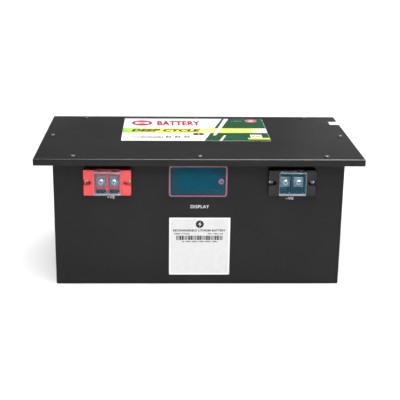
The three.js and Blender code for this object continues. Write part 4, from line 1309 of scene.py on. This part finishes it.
def hex_bolt(stem=0.0):
    """A hexagon bolt through a lug, head up; the stem runs below the lug."""
    washer_top = LUG_T + 0.6
    washer = lathe([(6.2, LUG_T), (6.2, washer_top)], 40)
    head = prism(circle(5.0, sides=6), washer_top, LUG_T + 3.9)
    parts = [soften(washer, 0.15), soften(head, 0.35, 3)]
    if stem:
        parts.append(lathe([(2.3, -stem), (2.75, -stem + 0.5), (2.75, LUG_T)], 32))
    return parts


def barrel_tube(start, end, radius):
    """A stretch of a lug's barrel between two distances in front of its bolt."""
    return tube([Vector((0, -start, BARREL_Z)), Vector((0, -end, BARREL_Z))], radius, 28)


def lug_parts(sleeve, stem=0.0):
    """A crimped ring lug about its bolt, lying flat with its barrel towards -Y, with its bolt."""
    eye = [(8 * cos(a), 8 * sin(a)) for a in (radians(d) for d in range(-10, 191, 10))]
    palm = anticlockwise([*eye, (-5.2, -12.5), (5.2, -12.5)])
    flat = soften(cut(prism(palm, 0.05, LUG_T), prism(circle(BORE_R), -1, 3)), 0.25, 2, 50)
    barrel = barrel_tube(11.6, 20, 4.45)
    throat = loft([
        [(x, -13.4, z) for x, z in rounded_rect(8.8, 6.4, 2.6, 0, 3.7)],
        [(x, -11.0, z) for x, z in rounded_rect(10.2, 1.5, 0.6, 0, 0.85)],
    ])
    crimps = [barrel_tube(y - 0.5, y + 0.5, 4.7) for y in (14.2, 16.0)]
    cuff = painted(barrel_tube(17, 24.5, 4.85), sleeve)
    bright = [painted(mesh, BRIGHT_STEEL) for mesh in (flat, barrel, throat, *crimps, *hex_bolt(stem))]
    return [*bright, cuff]


def placed(meshes, matrix):
    for mesh in meshes:
        mesh.transform(matrix)
    return meshes


def flat_lug(sleeve, at, degrees=0):
    turn = Matrix.Rotation(radians(degrees), 4, "Z")
    return placed(lug_parts(sleeve), Matrix.Translation(at) @ turn)


def upright_lug(sleeve, at):
    """A lug stood against the rear of a block's bridge, its barrel hanging down."""
    turn = Matrix(((-1, 0, 0), (0, 0, 1), (0, 1, 0))).to_4x4()
    return placed(lug_parts(sleeve, 5.4), Matrix.Translation(at) @ turn)


def cable(points, material):
    return painted(tube(smooth_path(points), 4.0, 24), material)


FIRST_CELL = CELL_POSITIONS[0].x
LAST_CELL = CELL_POSITIONS[-1].x
BMS_LOW, BMS_HIGH = span("bms")
POST_Z = BMS_LOW.z + 7
BATTERY_POST = (83.5, 42.0)
LOAD_POST = (58.0, 13.5)


def bridge_end(pole):
    """Where the lug's bolt sits on a block's bridge, and the height at which its cable ends."""
    at = BLOCKS[pole]
    return Vector((at.x, PANEL_Y - BRIDGE_BACK, at.z + 8)), at.z - 10


def positive_lead():
    bolt, end_z = bridge_end("positive")
    x, y, z = FIRST_CELL, -POLE_Y, POLE_TOP + BARREL_Z
    route = [(x, y - 18, z), (x + 2, y - 30, z + 3), (x + 18, y - 38, z + 12),
             (bolt.x - 4, bolt.y + BARREL_Z, end_z - 16), (bolt.x, bolt.y + BARREL_Z, end_z)]
    return gathered(*flat_lug(RED_RUBBER, Vector((x, y, POLE_TOP))), *upright_lug(RED_RUBBER, bolt),
                    cable(route, RED_RUBBER))


def negative_lead():
    bolt, end_z = bridge_end("negative")
    x, y = LOAD_POST
    z = POST_Z + BARREL_Z
    route = [(x, y - 18, z), (x + 4, y - 33, z + 1.5), (x + 34, y - 77, z + 1.5),
             (bolt.x - 6, bolt.y + BARREL_Z + 3, end_z - 10), (bolt.x, bolt.y + BARREL_Z, end_z)]
    return gathered(*flat_lug(BLACK_RUBBER, Vector((x, y, POST_Z))), *upright_lug(BLACK_RUBBER, bolt),
                    cable(route, BLACK_RUBBER))


def bms_lead():
    x, y, z = LAST_CELL, -POLE_Y, POLE_TOP + BARREL_Z
    px, py = BATTERY_POST
    route = [(x, y + 18, z), (x - 2, y + 32, z + 2), (x - 26, y + 78, POST_Z - 4),
             (px + 35, py - 2, POST_Z + BARREL_Z), (px + 18, py, POST_Z + BARREL_Z)]
    return gathered(*flat_lug(BLACK_RUBBER, Vector((x, y, POLE_TOP)), 180),
                    *flat_lug(BLACK_RUBBER, Vector((px, py, POST_Z)), 90), cable(route, BLACK_RUBBER))


def bms_mesh():
    """The finned unit with its sense plug, status light, corner screws and two copper posts."""
    near, far = 22, 107
    top = BMS_HIGH.z
    corners = [(x, y) for x in (-70, 70) for y in (near + 5, far - 5)]
    block = brick((-75, 75), (near, far), (BMS_LOW.z, top))
    cutters = [brick((x - 3, x + 3), (near + 6, far - 6), (top - 4, top + 1)) for x in range(-60, 61, 12)]
    cutters += [prism(circle(2.2, x, y, 24), top - 3, top + 1) for x, y in corners]
    cutters.append(brick((-58, -22), (near - 1, near + 0.6), (POST_Z - 3.4, POST_Z + 8.4)))
    shell = soften(cut(block, *cutters), 0.4, 2, 50)
    socket = cut(brick((-57, -23), (17, 22.5), (POST_Z - 2, POST_Z + 7)),
                 brick((-55.8, -24.2), (16, 20.5), (POST_Z - 0.9, POST_Z + 5.9)))
    parts = [painted(shell, ANODISED), painted(soften(socket, 0.2, 1, 50), IVORY)]
    for x, y in corners:
        parts.append(painted(moved(screw(**CORNER_SCREW, length=2.0), x, y, top - 2.9), BLACK_STEEL))
    for i in range(9):
        pin = brick((-54 + 3.4 * i, -53.2 + 3.4 * i), (17.6, 20.6), (POST_Z + 2, POST_Z + 2.8))
        parts.append(painted(pin, TINNED_BAR))
    for x, y in (((74.5, 87), (34, 50)), ((50, 66), (10, 22.5))):
        parts.append(painted(soften(brick(x, y, (POST_Z - 2, POST_Z)), 0.3, 2), COPPER))
    light = lathe([(1.5, 0), (1.4, 0.5), (0.8, 0.9)], 24)
    light.transform(Matrix.Translation((0, near, POST_Z + 3)) @ TO_FRONT)
    return gathered(*parts, painted(light, INK_GREEN))


ROW_Y = -28.0  # the middle of the row of sense wires
ROW_Z = POLE_TOP - 1.4  # a level just below the wires and their ties
SENSE_PLUG = Vector((-40.0, 16.95, BMS_LOW.z + 9.5))  # the middle of the plug's rear face


def wire(points, radius, material, steps=14, sides=16):
    return painted(tube(smooth_path(points, steps), radius, sides), material)


def harness_mesh():
    """Five sense wires laid side by side over the cells with their ties, a tap to every link,
    the rise to the plug and the sleeved branch to the meter."""
    parts = []
    colours = (BLACK_RUBBER, RED_RUBBER, IVORY, COPPER, BLACK_RUBBER)
    z = ROW_Z + 1
    for i, colour in enumerate(colours):
        y = ROW_Y - 2.4 + 1.2 * i
        line = [(FIRST_CELL + 10 + 3 * i, y, z), (-60, y + 0.3, z), (0, y, z), (60, y - 0.3, z),
                (LAST_CELL - 12 - 3 * i, y, z)]
        parts.append(wire(line, 0.55, colour, 16, 10))
    for x in range(-150, 151, 50):
        tie = cut(brick((x + 14, x + 16.4), (ROW_Y - 3.4, ROW_Y + 3.4), (ROW_Z + 0.1, ROW_Z + 1.9)),
                  brick((x + 13, x + 18), (ROW_Y - 3.0, ROW_Y + 3.0), (ROW_Z + 0.35, ROW_Z + 1.65)))
        parts.append(painted(soften(tie, 0.1, 1), IVORY))
    for i, (left, right) in enumerate(zip(CELL_POSITIONS, CELL_POSITIONS[1:])):
        x = (left.x + right.x) / 2
        side = -1 if i % 2 else 1
        reach = side * 47.3
        bends = [(x, ROW_Y + 5), (x, reach * 0.6)] if side > 0 else [(x - 0.5, ROW_Y - 5), (x, ROW_Y - 12)]
        tap = [(x - 1.5, ROW_Y, ROW_Z + 1.3), (*bends[0], ROW_Z + 1.1), (*bends[1], ROW_Z + 0.9),
               (x, reach, ROW_Z + 1.1)]
        parts.append(wire(tap, 0.6, colours[i % 3], 10, 10))
        bead = lathe([(1.1, 0), (1.3, 0.5), (0.7, 1.1)], 20)
        parts.append(painted(moved(bead, x, reach - side * 0.6, ROW_Z + 0.5), BRIGHT_STEEL))
    x, y, z = SENSE_PLUG
    grooves = [brick((left, left + 1.2), (y - 6, y - 2), (z + 3.2, z + 5))
               for left in (x - 13.3 + 3.4 * i for i in range(8))]
    plug = cut(brick((x - 15, x + 15), (y - 7, y), (z - 4, z + 4)), *grooves)
    rise = [(x - 9, y - 6, z), (x - 9, y - 20, z - 3), (x - 9, ROW_Y + 9, ROW_Z + 9),
            (x - 9, ROW_Y, ROW_Z + 2.7)]
    branch = [(x + 9, y - 6, z), (x + 12, y - 30, z + 2), (METER.x - 8, -70, METER.z - 4),
              (METER.x, PANEL_Y + 21.5, METER.z)]
    return gathered(
        *parts,
        painted(soften(plug, 0.25, 2, 50), IVORY),
        wire(rise, 2.2, BLACK_RUBBER),
        wire(branch, 1.6, BLACK_RUBBER, sides=14),
    )


def inside_parts():
    piece("bms_shelf", bracket_mesh(), "zinc_plate", "bms_bracket")
    piece("bms_unit", bms_mesh(), "bms_case", "bms")
    piece("positive_power_lead", positive_lead(), "red_cable", "positive_lead")
    piece("negative_power_lead", negative_lead(), "black_cable", "negative_lead")
    piece("cell_power_lead", bms_lead(), "black_cable", "bms_lead")
    piece("sense_harness", harness_mesh(), "black_cable", "wiring_harness")


inside_parts()
